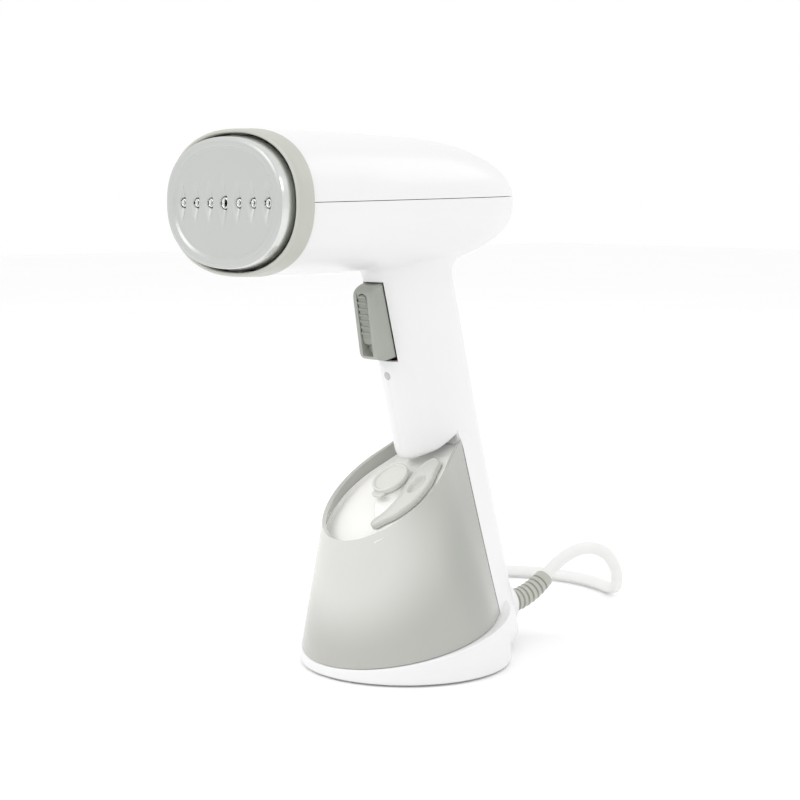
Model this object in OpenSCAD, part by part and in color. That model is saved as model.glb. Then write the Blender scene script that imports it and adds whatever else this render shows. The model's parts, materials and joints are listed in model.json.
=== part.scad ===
// Handheld garment steamer that stands on a round foot.
// The origin is the middle of the foot's resting face. +Z is up and the soleplate faces -Y.

/* [Foot and water tank] */
// Radius of the round foot
foot_r = 55; // [50:0.5:66]
// Height of the foot's front edge, on which the tank rests
foot_front_h = 6.5; // [5.5:0.1:9]
// Rise of the foot's top per millimetre towards the back
foot_slope = 0.225; // [0.18:0.005:0.27]
// Thickness of the rubber pad under the foot
pad_t = 1; // [0.8:0.1:2]
// Height of the tank's rim at its front
rim_front_z = 70; // [60:0.5:78]
// Rise of the tank's rim per millimetre towards the back
rim_slope = 0.742; // [0.68:0.002:0.78]
// Wall of the water tank
tank_wall = 2.2; // [1.6:0.1:3]
// Depth of the tank's deck below its rim
deck_drop = 9.4; // [8:0.1:11]

/* [Handle and head] */
// Width of the handle
grip_w = 38; // [32:0.5:44]
// Depth of the handle, front to back
grip_d = 51; // [43:0.5:58]
// Backward lean of the handle per millimetre of height
grip_lean = 0.239; // [0.2:0.001:0.27]
// Height of the head's axis above the table
head_z = 238.7; // [225:0.1:262]
// Width of the head behind the bezel
head_w = 104; // [98:0.5:112]
// Height of the head behind the bezel
head_h = 69; // [66:0.5:76]
// Wall of the moulded covers
shell_wall = 2.4; // [2:0.1:3]

/* [Soleplate and boiler] */
// Width of the soleplate's face
plate_w = 98; // [88:0.5:99]
// Height of the soleplate's face
plate_h = 62; // [56:0.5:63]
// Depth of the bezel ring
bezel_d = 10; // [8:0.5:13]
// Number of steam holes in the row
hole_count = 7; // [5:2:9]
// Distance between steam holes
hole_pitch = 11.8; // [9:0.1:12.4]
// Diameter of the drilled seat of each small nozzle
hole_d = 3.6; // [3:0.1:4.4]
// Diameter of the drilled seat of the middle nozzle
mid_hole_d = 5; // [4:0.1:6]

/* [Trigger and controls] */
// Width of the trigger
trigger_w = 15; // [12:0.5:18]
// Height of the trigger
trigger_h = 39; // [34:0.5:44]
// Width of the lock slider in the trigger's face
slider_w = 7.4; // [6:0.1:9]
// Travel of the lock slider
slider_travel = 5; // [3:0.5:6]
// Diameter of the trigger's pin
trigger_pin_d = 3; // [2:0.1:4]

/* [Mains lead] */
// Diameter of the mains lead
lead_d = 7; // [6:0.1:8]

/* [Fits] */
// Radial clearance of a running pin
pin_clear = 0.06; // [0.02:0.01:0.1]
// Gap between pieces that slide or lie side by side
side_gap = 0.4; // [0.3:0.05:0.8]

/* [Hidden] */

eps = 0.01;
far = 400;                          // larger than the part, for cutting blocks
tank_top_z = rim_front_z + 47.7;    // where the rim meets the spine
ref_z = 188;                        // height at which the handle's axis is at ref_y
ref_y = 4;
col_flare = 0.107;                  // the column widens by this per millimetre below the rim
slide_deg = atan(foot_slope);
deck_deg = atan(rim_slope);
lean_deg = atan(grip_lean);
rim_front_y = -45;
spine_slope = 0.1615;
spine_top_y = 19.3;

// Middle of the handle at height z, and the column's growth and middle below the tank's rim:
// it grows as a whole about its back edge, so its faces stay flat
function col_y(z) = ref_y + grip_lean * (ref_z - z);
function col_k(z) = 1 + col_flare * max(0, tank_top_z - z) / (grip_w / 2);
function col_mid(z) = col_y(z) + grip_d / 2 * (1 - col_k(z));
function foot_top(y) = foot_front_h + foot_slope * (y + foot_r);
function rim_z(y) = rim_front_z + rim_slope * (y - rim_front_y);
function spine_y(z) = spine_top_y + spine_slope * (tank_top_z - z);
// Radius and middle of the round front of the tank at height z
function bow_r(z) = foot_r + 1 - 0.225 * z;
function bow_y(z) = -0.075 * z;

// Points of a superellipse: 2 is an ellipse, larger is squarer
function oval(w, h, n = 2, count = 36) = [for (i = [0:count - 1])
    let (a = 360 * (i + 0.5) / count, c = cos(a), s = sin(a))
    [w / 2 * sign(c) * pow(abs(c), 2 / n), h / 2 * sign(s) * pow(abs(s), 2 / n)]];
function unit(v) = v / norm(v);

// A closed round tube through the points p with one radius for each point
function ring_axes(d, i, u) = i == len(d) ? [] :
    let (v = unit(u - (u * d[i]) * d[i])) concat([v], ring_axes(d, i + 1, v));
module swept(p, r, sides = 8) {
    n = len(p);
    d = [for (i = [0:n - 1]) unit(p[min(i + 1, n - 1)] - p[max(i - 1, 0)])];
    first = abs(d[0] * [1, 0, 0]) < 0.8 ? [1, 0, 0] : [0, 0, 1];
    u = ring_axes(d, 0, first);
    pts = [for (i = [0:n - 1]) let (w = cross(d[i], u[i])) for (k = [0:sides - 1])
        p[i] + (is_list(r) ? r[i] : r) * (cos(360 * k / sides) * u[i] + sin(360 * k / sides) * w)];
    walls = [for (i = [0:n - 2]) for (k = [0:sides - 1]) let (a = i * sides, b = (k + 1) % sides)
        [a + k, a + sides + k, a + sides + b, a + b]];
    ends = [[for (k = [0:sides - 1]) k], [for (k = [sides - 1:-1:0]) (n - 1) * sides + k]];
    polyhedron(pts, concat(ends, walls), convexity = 6);
}

// Half-space blocks: below the tank's rim, above the foot's top, in front of the spine
module below_plane(y0, z0, slope_deg) translate([0, y0, z0]) rotate([slope_deg, 0, 0])
    translate([-far / 2, -far / 2, -far]) cube([far, far, far]);
module above_plane(y0, z0, slope_deg) translate([0, y0, z0]) rotate([slope_deg, 0, 0])
    translate([-far / 2, -far / 2, 0]) cube([far, far, far]);
module ahead_of_spine(gap) translate([0, spine_top_y - gap, tank_top_z])
    rotate([atan(spine_slope), 0, 0]) translate([-far / 2, -far, -far / 2]) cube([far, far, far]);
module behind_spine(gap) translate([0, spine_top_y + gap, tank_top_z])
    rotate([atan(spine_slope), 0, 0]) translate([-far / 2, 0, -far / 2]) cube([far, far, far]);

// Flat slices that the covers are lofted through; inset is how far inside the outer face
module bow_slice(z, inset) translate([0, bow_y(z), z]) linear_extrude(eps)
    circle(r = bow_r(z) - inset, $fn = 48);
module col_slice(z, inset) translate([0, col_mid(z), z]) linear_extrude(eps)
    polygon((col_k(z) - inset / (grip_w / 2)) * oval(grip_w, grip_d));
// Lower body: a round front and the leaning column joined by flat flanks
module lower_body(inset, low = 4, high = tank_top_z + 12) hull() {
    bow_slice(low, inset);
    bow_slice(high, inset);
    col_slice(low, inset);
    col_slice(high, inset);
}

// Head: ovals that shrink towards the rounded back, as shares of the front oval
head_front_y = -98;
head_back_y = 64;
head_len = head_back_y - head_front_y;
HEAD_LOFT = [[0, 1, 1], [0.24, 0.955, 0.995], [0.42, 0.88, 0.975], [0.61, 0.78, 0.94],
    [0.73, 0.69, 0.87], [0.82, 0.6, 0.76], [0.91, 0.46, 0.6], [0.965, 0.33, 0.44], [1, 0.15, 0.24]];
module head_slice(s, inset) translate([0, head_front_y + s[0] * (head_len - inset), head_z])
    rotate([90, 0, 0]) linear_extrude(eps)
    polygon(oval(head_w * s[1] - 2 * inset, head_h * s[2] - 2 * inset, 2.25, 40));
module head_solid(inset) for (i = [0:len(HEAD_LOFT) - 2]) hull() {
    head_slice(HEAD_LOFT[i], inset);
    head_slice(HEAD_LOFT[i + 1], inset);
}
parting_deg = 1.06;
module above_parting(gap) translate([0, head_front_y, head_z + 0.4 + gap])
    rotate([parting_deg, 0, 0]) translate([-far / 2, -far, 0]) cube([far, 2 * far, far]);

// Handle: the column from the head down to the cut above the tank, then only its back half
handle_cut_z = rim_z(-4) + 2.9;     // height of the handle's lower front edge
neck_top_z = head_z - 22;
neck_low_z = head_z - head_h / 2 - 6;
module grip_slice(z, inset) translate([0, col_y(z), z]) linear_extrude(eps)
    polygon((1 - inset / (grip_w / 2)) * oval(grip_w, grip_d));
module handle_solid(inset) difference() {
    union() {
        hull() {
            grip_slice(tank_top_z - 12, inset);
            grip_slice(neck_top_z, inset);
        }
        hull() {
            translate([0, col_y(neck_low_z), neck_low_z]) linear_extrude(eps)
                polygon(oval(grip_w - 1 - 2 * inset, grip_d - 1 - 2 * inset, 2, 32));
            translate([0, col_y(neck_top_z), neck_top_z]) linear_extrude(eps)
                polygon(oval(grip_w + 18 - 2 * inset, grip_d + 18 - 2 * inset, 2, 32));
        }
    }
    intersection() {
        ahead_of_spine(-inset);
        below_plane(-4, handle_cut_z + inset / cos(deck_deg), deck_deg);
    }
}
spine_low_z = 5;
boss_z = 20;                        // height of the cord's exit
boss_y = 72;                        // back of the cord's boss
boss_r = 11;
module spine_solid(inset) intersection() {
    union() {
        hull() {
            bow_slice(spine_low_z + inset, inset);
            bow_slice(tank_top_z + 6, inset + 0.4);
            col_slice(spine_low_z + inset, inset);
            col_slice(tank_top_z + 6, inset + 0.4);
        }
        hull() {
            translate([0, boss_y - 26, boss_z]) rotate([-90, 0, 0])
                cylinder(h = eps, r = boss_z - spine_low_z - 1 - inset, $fn = 32);
            translate([0, boss_y - inset - 3, boss_z]) rotate([-90, 0, 0])
                cylinder(h = 3, r = boss_r - inset / 2, $fn = 32);
        }
    }
    behind_spine(inset);
}

// Screws that close the two body halves: y and z of each, with the boss around it
screw_r = 1.5;
boss_clear = 0.3;
BODY_SCREWS = [[col_y(166) + 17.5, 166], [col_y(100) + 17, 100], [48, 12],
    [30, head_z - 14], [-52, head_z - 22]];
module along_x(y, z) translate([0, y, z]) rotate([0, 90, 0]) children();
module body_volume() {
    head_solid(0);
    handle_solid(0);
    spine_solid(0);
}
module screw_posts() intersection() {
    union() {
        head_solid(1);
        handle_solid(1);
        spine_solid(1);
    }
    for (s = BODY_SCREWS) along_x(s[0], s[1]) cylinder(h = 120, r = 3.6, center = true, $fn = 20);
}

// Trigger geometry, on the handle's front face
trigger_top_z = 198.5;
trigger_mid_z = trigger_top_z - trigger_h / 2;
function grip_front(z) = col_y(z) - grip_d / 2;
pivot_z = trigger_top_z - 5;
pivot_y = grip_front(pivot_z) + 7;
trigger_dip = 0.9;                  // the trigger's foot moves down by this when it is pulled
module trigger_window(gap) translate([0, grip_front(trigger_mid_z), trigger_mid_z])
    rotate([lean_deg, 0, 0]) translate([-(trigger_w / 2 + gap), -16, -trigger_h / 2 - gap - trigger_dip])
    cube([trigger_w + 2 * gap, 32, trigger_h + 2 * gap + trigger_dip]);

// The place of the tank's valve: local +Z points the way the tank draws off
dock_z = 38;
dock_y = spine_y(dock_z);
module at_dock() translate([0, dock_y, dock_z]) rotate([90 + slide_deg, 0, 0]) children();
dock_r = 4;
// The place of a piece on the tank's deck: local +Z is square to the deck, +Y runs up it
module on_deck(x, y, lift) translate([x, y, rim_z(y)]) rotate([deck_deg, 0, 0])
    translate([0, 0, lift]) children();
cap_x = 0.5;
cap_y = -9.8;
cap_r = 10.4;
cap_seat = 7.1;                     // height of the cap's seat above the deck
latch_seat = 4.9;
deck_lift = -deck_drop * cos(deck_deg);

// Body halves
module body_half(side) difference() {
    union() {
        difference() {
            body_volume();
            head_solid(shell_wall);
            handle_solid(shell_wall);
            spine_solid(shell_wall);
            translate([-far / 2, head_front_y - 1, 0]) cube([far, 0.99 + eps, far]);
        }
        screw_posts();
    }
    above_parting(0);
    translate([side > 0 ? -far : 0, -far / 2, -1]) cube([far, far, far]);
    for (s = BODY_SCREWS) {
        along_x(s[0], s[1]) cylinder(h = 130, r = screw_r, center = true, $fn = 20);
        along_x(s[0], s[1]) translate([0, 0, -67]) cylinder(h = 60, r = 3, $fn = 20);
    }
    trigger_window(0.5);
    lens_pocket();
    at_dock() translate([0, 0, -9]) cylinder(h = 20, r = dock_r + 0.05, $fn = 24);
    translate([0, boss_y - 14, boss_z]) rotate([-90, 0, 0]) cylinder(h = 30, r = 6.6, $fn = 28);
    along_x(pivot_y, pivot_z) cylinder(h = pin_len + 0.1, r = trigger_pin_d / 2 + 0.02, center = true, $fn = 24);
    foot_screw_shafts(screw_r);
}
module body_shell_left() color("whitesmoke") body_half(-1);
module body_shell_right() color("whitesmoke") body_half(1);
module head_top_cover() color("white") intersection() {
    difference() {
        head_solid(0);
        head_solid(shell_wall);
        translate([-far / 2, head_front_y - 1, 0]) cube([far, 0.99 + eps, far]);
    }
    above_parting(0.05);
}
module body_screws() color("silver") for (s = BODY_SCREWS) along_x(s[0], s[1]) {
    translate([0, 0, -7.05]) cylinder(h = 14, r = screw_r - 0.02, $fn = 20);
    translate([0, 0, -9]) cylinder(h = 1.96, r = 2.7, $fn = 20);
}

// Foot
foot_floor_z = spine_low_z - 0.1;
FOOT_SCREWS = [[-14, 41.5], [14, 41.5]];
module foot_screw_shafts(r) for (s = FOOT_SCREWS) translate([s[0], s[1], pad_t - 1])
    cylinder(h = 13, r = r, $fn = 20);
module foot_block(r, low, drop, gap) difference() {
    translate([0, 0, low]) cylinder(h = 60, r = r, $fn = 96);
    above_plane(-foot_r, foot_front_h - drop, slide_deg);
    difference() {
        behind_spine(-gap);
        translate([-far / 2, -far / 2, -far + foot_floor_z - drop]) cube([far, far, far]);
    }
}
module base_foot() color("whitesmoke") difference() {
    foot_block(foot_r, pad_t, 0, 0.1);
    foot_block(foot_r - shell_wall, pad_t - 1, shell_wall, 0.1 + shell_wall);
    foot_screw_shafts(screw_r);
}
module rubber_foot_pad() color("dimgray") cylinder(h = pad_t, r = foot_r - 4, $fn = 96);
module foot_screws() color("silver") for (s = FOOT_SCREWS)
    translate([s[0], s[1], foot_floor_z - shell_wall - 0.85]) {
    cylinder(h = 0.8, r = 2.8, $fn = 20);
    cylinder(h = 9, r = screw_r - 0.02, $fn = 20);
}

// Bezel, soleplate and boiler, stacked from the front to the back
bezel_y = head_front_y - bezel_d;
plate_proud = 5;
plate_y = bezel_y - plate_proud;
plate_back_y = plate_y + 10;
plate_flare = 3;                    // the flank widens by this towards the bezel
plate_n = 2.25;
bezel_w = head_w + 6;
bezel_h = head_h + 1;
module oval_block(w, h, y0, depth) translate([0, y0 + depth, head_z]) rotate([90, 0, 0])
    linear_extrude(depth) polygon(oval(w, h, plate_n, 56));
module oval_taper(w, h, y0, w2, h2, y1) hull() {
    oval_block(w, h, y0, eps);
    oval_block(w2, h2, y1 - eps, eps);
}
bore_w = plate_w + plate_flare + 1;
bore_h = plate_h + plate_flare + 1;
module bezel_ring() color("silver") difference() {
    oval_taper(bezel_w, bezel_h, bezel_y, bezel_w - 3, bezel_h + 0.5, head_front_y - 0.05);
    oval_block(bore_w, bore_h, bezel_y - 1, bezel_d + 2);
}
function hole_x(i) = (i - (hole_count - 1) / 2) * hole_pitch;
function is_mid(i) = i == (hole_count - 1) / 2;
function seat_r(i) = (is_mid(i) ? mid_hole_d : hole_d) / 2;
module along_y(x, y) translate([x, y, head_z]) rotate([-90, 0, 0]) children();
module soleplate() color("gainsboro") difference() {
    union() {
        oval_taper(plate_w, plate_h, plate_y, plate_w + plate_flare, plate_h + plate_flare, bezel_y + 1);
        oval_block(plate_w + plate_flare, plate_h + plate_flare, bezel_y + 1, plate_back_y - bezel_y - 1);
    }
    oval_block(plate_w - 8, plate_h - 8, plate_y + 4, 10);
    for (i = [0:hole_count - 1]) along_y(hole_x(i), plate_y - 1) cylinder(h = 8, r = seat_r(i), $fn = 28);
}
module steam_nozzles() color("gray") for (i = [0:hole_count - 1]) along_y(hole_x(i), plate_y - 0.5) {
    difference() {
        union() {
            cylinder(h = 4.6, r = seat_r(i), $fn = 28);
            cylinder(h = 0.5, r = seat_r(i) + 0.8, $fn = 28);
        }
        translate([0, 0, -1]) cylinder(h = 8, r = seat_r(i) - 0.7, $fn = 28);
    }
}
gasket_t = 1.5;
boiler_y = plate_back_y + gasket_t;
boiler_w = plate_w - 6;
boiler_h = plate_h - 6;
boiler_d = 22;
lid_y = boiler_y + boiler_d;
lid_t = 3;
heater_r = 4;
heater_y = boiler_y + 9;
heater_bend_r = 15;
heater_span = 27;
module soleplate_gasket() color("orangered") difference() {
    oval_block(plate_w, plate_h, plate_back_y, gasket_t);
    oval_block(plate_w - 7, plate_h - 7, plate_back_y - 1, gasket_t + 2);
}
// U-shaped tubular heater: two straight legs and a half turn, with its ends out at the back
module heater_rod(r) {
    for (s = [-1, 1]) translate([-heater_span, heater_y, head_z + s * heater_bend_r]) rotate([0, 90, 0])
        cylinder(h = 2 * heater_span - 10, r = r, $fn = 24);
    translate([heater_span - 10, heater_y, head_z]) rotate([90, 0, 0]) rotate([0, 0, -90])
        rotate_extrude(angle = 180, $fn = 48) translate([heater_bend_r, 0]) circle(r = r, $fn = 24);
}
// Outline of the groove that the heater lies in, r to each side of its middle line
module heater_groove(r) {
    for (s = [-1, 1]) {
        translate([-heater_span, s * heater_bend_r - r]) square([2 * heater_span - 10, 2 * r]);
        translate([-heater_span, s * heater_bend_r]) circle(r = r, $fn = 32);
    }
    translate([heater_span - 10, 0]) difference() {
        circle(r = heater_bend_r + r, $fn = 48);
        circle(r = heater_bend_r - r, $fn = 48);
        translate([-60, -30]) square([60, 60]);
    }
}
module boiler_block() color("darkgray") difference() {
    oval_block(boiler_w, boiler_h, boiler_y, boiler_d);
    translate([0, lid_y + 1, head_z]) rotate([90, 0, 0])
        linear_extrude(lid_y + 1 - heater_y + heater_r + 0.1) heater_groove(heater_r + 0.1);
    oval_block(44, 14, lid_y - 7, 10);
    along_y(0, boiler_y - 1) cylinder(h = 18, r = 2.5, $fn = 20);
    boiler_screw_shafts(1.5, 8);
}
module heating_element() color("dimgray") {
    heater_rod(heater_r);
    for (s = [-1, 1]) translate([-heater_span, heater_y, head_z + s * heater_bend_r]) rotate([-90, 0, 0]) {
        translate([0, 0, -heater_r]) cylinder(h = 8, r = heater_r, $fn = 24);
        cylinder(h = 27, r = 2, $fn = 16);
    }
}
BOILER_SCREWS = [[-34, -16], [34, -16], [-34, 16], [34, 16], [0, -23.5], [0, 23.5]];
module boiler_screw_shafts(r, depth) for (s = BOILER_SCREWS) translate([s[0], lid_y - depth, head_z + s[1]])
    rotate([-90, 0, 0]) cylinder(h = depth + lid_t + 1, r = r, $fn = 20);
inlet_x = 16;
module boiler_lid() color("gray") difference() {
    union() {
        oval_block(boiler_w, boiler_h, lid_y, lid_t);
        along_y(inlet_x, lid_y + 1) cylinder(h = 12, r = 2.6, $fn = 20);
    }
    boiler_screw_shafts(1.6, 8);
    along_y(inlet_x, lid_y - 1) cylinder(h = 16, r = 1.4, $fn = 20);
    for (s = [-1, 1]) translate([-heater_span, lid_y - 1, head_z + s * heater_bend_r]) rotate([-90, 0, 0])
        cylinder(h = 10, r = 3, $fn = 20);
}
module boiler_screws() color("silver") {
    boiler_screw_shafts(1.45, 7.5);
    for (s = BOILER_SCREWS) translate([s[0], lid_y + lid_t + 0.05, head_z + s[1]]) rotate([-90, 0, 0])
        cylinder(h = 2, r = 2.6, $fn = 20);
}
module thermostat() color("beige") along_y(-6, lid_y + lid_t + 0.05) {
    cylinder(h = 5, r = 7.5, $fn = 32);
    cylinder(h = 8, r = 4, $fn = 24);
}
module thermal_fuse() color("silver") translate([26, lid_y + lid_t + 2.1, head_z - 9]) {
    cylinder(h = 18, r = 2, $fn = 20);
    translate([0, 0, -4]) cylinder(h = 26, r = 0.6, $fn = 16);
}
shield_y = lid_y + 22;
module heat_shield() color("silver") difference() {
    oval_block(head_w - 16, head_h - 12, shield_y, 0.8);
    along_y(inlet_x, shield_y - 1) cylinder(h = 4, r = 4, $fn = 20);
    along_y(-heater_span, shield_y - 1) cylinder(h = 4, r = 4, $fn = 20);
}

// Trigger, its lock slider and the switch behind it
face_proud_top = 6.6;
face_proud_low = 9;
module at_trigger() translate([0, grip_front(trigger_mid_z), trigger_mid_z]) rotate([lean_deg, 0, 0])
    children();
slot_depth = 4.2;
slot_h = trigger_h - 7;
slider_h = slot_h - slider_travel - 0.6;
// Side view of the trigger: y grows into the handle, z up the trigger's face
module trigger_profile() polygon([[-face_proud_low, -trigger_h / 2 + 4], [-face_proud_low + 3, -trigger_h / 2],
    [6, -trigger_h / 2], [8, -trigger_h / 2 + 3], [8, -trigger_h / 2 + 12], [3, -trigger_h / 2 + 17],
    [3, trigger_h / 2 - 12], [10.5, trigger_h / 2 - 9], [10.5, trigger_h / 2 - 1.2],
    [9, trigger_h / 2], [-face_proud_top + 4, trigger_h / 2], [-face_proud_top, trigger_h / 2 - 4]]);
module yz_plate(w) rotate([0, 0, 90]) rotate([90, 0, 0]) translate([0, 0, -w / 2]) linear_extrude(w) children();
face_tilt = atan((face_proud_low - face_proud_top) / (trigger_h - 8));
module slot_block(w, low, high, deep) translate([0, -(face_proud_low + face_proud_top) / 2, 0])
    rotate([-face_tilt, 0, 0]) translate([-w / 2, -6, low]) cube([w, 6 + deep, high - low]);
module trigger() color("darkseagreen") difference() {
    at_trigger() difference() {
        yz_plate(trigger_w) trigger_profile();
        slot_block(slider_w + 0.8, -slot_h / 2, slot_h / 2, slot_depth);
    }
    along_x(pivot_y, pivot_z) cylinder(h = 40, r = trigger_pin_d / 2 + pin_clear, center = true, $fn = 24);
    along_x(pivot_y, pivot_z) cylinder(h = 6, r = 5, center = true, $fn = 24);
}
pin_len = grip_w - 15;
module trigger_pin() color("silver") along_x(pivot_y, pivot_z)
    cylinder(h = pin_len, r = trigger_pin_d / 2, center = true, $fn = 24);
module trigger_spring() color("silver") along_x(pivot_y, pivot_z) for (i = [-1.5:1:1.5])
    translate([0, 0, i * 1.3]) rotate_extrude($fn = 32) translate([trigger_pin_d / 2 + 1, 0]) circle(r = 0.5, $fn = 16);
rib_count = 7;
module lock_slider() color("slategray") at_trigger() difference() {
    slot_block(slider_w, slot_h / 2 - 0.3 - slider_h, slot_h / 2 - 0.3, slot_depth - 0.3);
    translate([0, -(face_proud_low + face_proud_top) / 2, 0]) rotate([-face_tilt, 0, 0]) {
        translate([-10, -10, -40]) cube([20, 10.6, 80]);
        for (i = [0:rib_count - 1]) translate([-slider_w / 2 - 1, 0, slot_h / 2 - 4.5 - i * (slider_h - 5) / rib_count])
            cube([slider_w + 2, 1.5, 1.4]);
    }
}
switch_z = trigger_mid_z - 14;
switch_y = grip_front(switch_z) + 12.5;
module microswitch() color("black") translate([0, switch_y, switch_z]) difference() {
    translate([-3.2, 0, -10]) cube([6.4, 10, 20]);
    translate([-1.3, -1, -1.6]) cube([2.6, 5.4, 3.2]);
    for (z = [-5, 5]) translate([0, 7, z]) rotate([0, 90, 0]) cylinder(h = 10, r = 1.2, center = true, $fn = 20);
}
module switch_plunger() color("firebrick") translate([0, switch_y, switch_z])
    translate([-1.1, -2.4, -1.3]) cube([2.2, 3.8, 2.6]);
lens_z = 150.5;
module lens_pocket() translate([0, grip_front(lens_z), lens_z]) rotate([-90 + lean_deg, 0, 0])
    translate([0, 0, -4]) cylinder(h = 12, r = 2.6, $fn = 28);
module indicator_lens() color("orange") translate([0, grip_front(lens_z) + 0.3, lens_z])
    rotate([-90 + lean_deg, 0, 0]) {
    cylinder(h = 3.7, r = 2.5, $fn = 28);
    translate([0, 0, 3.6]) cylinder(h = 1.2, r = 3.2, $fn = 28);
}

// Pump and board inside the handle and the spine
pump_r = 10.5;
pump_l = 28;
pump_z = 131;
pump_dy = 6.5;
module in_handle(z, dy = 0) translate([0, col_y(z) + dy, z]) rotate([lean_deg, 0, 0]) children();
module water_pump() color("goldenrod") in_handle(pump_z, pump_dy) {
    cylinder(h = pump_l, r = pump_r, $fn = 40);
    translate([0, 0, pump_l - eps]) cylinder(h = 4, r = 6, $fn = 28);
    translate([0, 0, pump_l + 3]) cylinder(h = 8, r = 2.5, $fn = 20);
    translate([0, 0, -4]) cylinder(h = 4 + eps, r = 4.5, $fn = 28);
    translate([0, 0, -11]) cylinder(h = 8, r = 2.5, $fn = 20);
}
module pump_mounts() color("black") in_handle(pump_z, pump_dy) for (z = [4, pump_l - 8]) translate([0, 0, z])
    difference() {
        cylinder(h = 4, r = pump_r + 1.2, $fn = 40);
        translate([0, 0, -1]) cylinder(h = 6, r = pump_r, $fn = 40);
    }
board_z = 72;
module control_board() color("darkgreen") in_handle(board_z, 14) {
    translate([-12.5, 0, -20]) cube([25, 1.6, 40]);
    for (s = [-1, 1]) translate([s * 8.5 - 3.5, -4.5, -12]) cube([7, 4.6, 12]);
    translate([-6, -3, 6]) cube([12, 3.1, 10]);
}
hose_r = 3.6;
function lean_pt(z, dy, x = 0) = [x, col_y(z) + dy, z];
function dock_pt(s) = [0, dock_y + s * cos(slide_deg), dock_z + s * sin(slide_deg)];
SUCTION = [dock_pt(8.1), dock_pt(11.5), [0, dock_y + 14, dock_z + 7], [0, dock_y + 13, dock_z + 14],
    [0, dock_y + 8, dock_z + 21], lean_pt(67, 1.5), lean_pt(80, 3.5), lean_pt(92, 4.5), lean_pt(101, 5.2),
    lean_pt(110, 6.2), lean_pt(pump_z - 14 * cos(lean_deg), pump_dy), lean_pt(pump_z - 11.1 * cos(lean_deg), pump_dy)];
module suction_hose() color("lightgray") swept(SUCTION, hose_r, 10);
pump_out_z = pump_z + (pump_l + 11.1) * cos(lean_deg);
DELIVERY = [lean_pt(pump_out_z, pump_dy), lean_pt(pump_out_z + 4, pump_dy), lean_pt(186, 9.5, 1),
    lean_pt(200, 12, 3), [6, 8, 212], [10, -6, 224], [13, -20, 232], [inlet_x, -34, head_z - 1],
    [inlet_x, -48, head_z], [inlet_x, lid_y + 13.2, head_z]];
module delivery_hose() color("lightgray") swept(DELIVERY, hose_r, 10);
wire_r = 1.8;
LIVE = [lean_pt(92.5, 10.5, -9), lean_pt(100, 9, -10), lean_pt(110, 7.5, -12.5), lean_pt(119, 6.5, -13.7),
    lean_pt(128, 6.5, -13.7), lean_pt(137, 6.5, -13.7), lean_pt(141, 3, -13.4), lean_pt(146, -3, -12),
    lean_pt(152, -8, -9.5), lean_pt(159, -9.5, -9), lean_pt(168, -8, -9), lean_pt(185, -6, -9),
    lean_pt(200, 0, -10), [-14, -2, 214], [-18, -14, 226], [-24, -34, head_z - 4],
    [-heater_span, lid_y + 24, head_z], [-heater_span, lid_y + 12, head_z]];
SUPPLY = [[0, boss_y - 20.5, boss_z], [4, boss_y - 22, boss_z + 3], [9, boss_y - 20, boss_z + 10],
    [10, boss_y - 16, boss_z + 19], lean_pt(50.5, 15, 8)];
module wiring_loom() color("firebrick") {
    swept(LIVE, wire_r, 8);
    swept(SUPPLY, wire_r, 8);
}

// Water tank
module tank_shell() color("darkkhaki") difference() {
    intersection() {
        lower_body(0);
        below_plane(rim_front_y, rim_front_z, deck_deg);
        above_plane(-foot_r, foot_front_h + side_gap, slide_deg);
        ahead_of_spine(side_gap + 0.3);
    }
    intersection() {
        lower_body(tank_wall);
        above_plane(-foot_r, foot_front_h + side_gap + tank_wall + 0.6, slide_deg);
        ahead_of_spine(side_gap + 0.3 + tank_wall);
    }
    handle_path();
    at_dock() translate([0, 0, -2]) cylinder(h = 8, r = valve_r + 0.05, $fn = 32);
}
// Room that the handle's lower end needs while the tank draws forward
module handle_path() translate([0, spine_top_y, handle_cut_z + 4.4]) rotate([slide_deg, 0, 0])
    translate([-grip_w / 2 - side_gap, -60, 0]) cube([grip_w + 2 * side_gap, 120, 60]);
deck_t = 2;
module tank_deck() color("tan") difference() {
    union() {
        intersection() {
            lower_body(tank_wall + 0.1);
            below_plane(rim_front_y, rim_front_z - deck_drop, deck_deg);
            above_plane(rim_front_y, rim_front_z - deck_drop - deck_t / cos(deck_deg), deck_deg);
            ahead_of_spine(side_gap + 0.4 + tank_wall);
        }
        on_deck(cap_x, cap_y, deck_lift - 1) cylinder(h = cap_seat + 0.9, r = cap_r - 1.6, $fn = 40);
        on_deck(latch_x + 2, latch_y, deck_lift - 1) translate([-5, -6, 0]) cube([10, 12, latch_seat + 0.8]);
    }
    on_deck(cap_x, cap_y, deck_lift - 5) cylinder(h = 25, r = filler_r, $fn = 40);
    handle_path();
}
filler_r = 7;
cap_lift = deck_lift + cap_seat;
module filler_cap() color("silver") on_deck(cap_x, cap_y, cap_lift) {
    difference() {
        cylinder(h = 3.6, r = cap_r, $fn = 48);
        translate([0, 0, 2.4]) cylinder(h = 4, r = cap_r - 1.8, $fn = 48);
    }
    translate([0, 0, -4.6]) cylinder(h = 4.7, r = filler_r - 1.2, $fn = 40);
    translate([-4, -cap_r - 2.6, 0]) cube([8, 4, 2]);
}
module cap_seal() color("dimgray") on_deck(cap_x, cap_y, cap_lift - 3) difference() {
    cylinder(h = 2, r = filler_r - 0.05, $fn = 40);
    translate([0, 0, -1]) cylinder(h = 4, r = filler_r - 1.2, $fn = 40);
}
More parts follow.
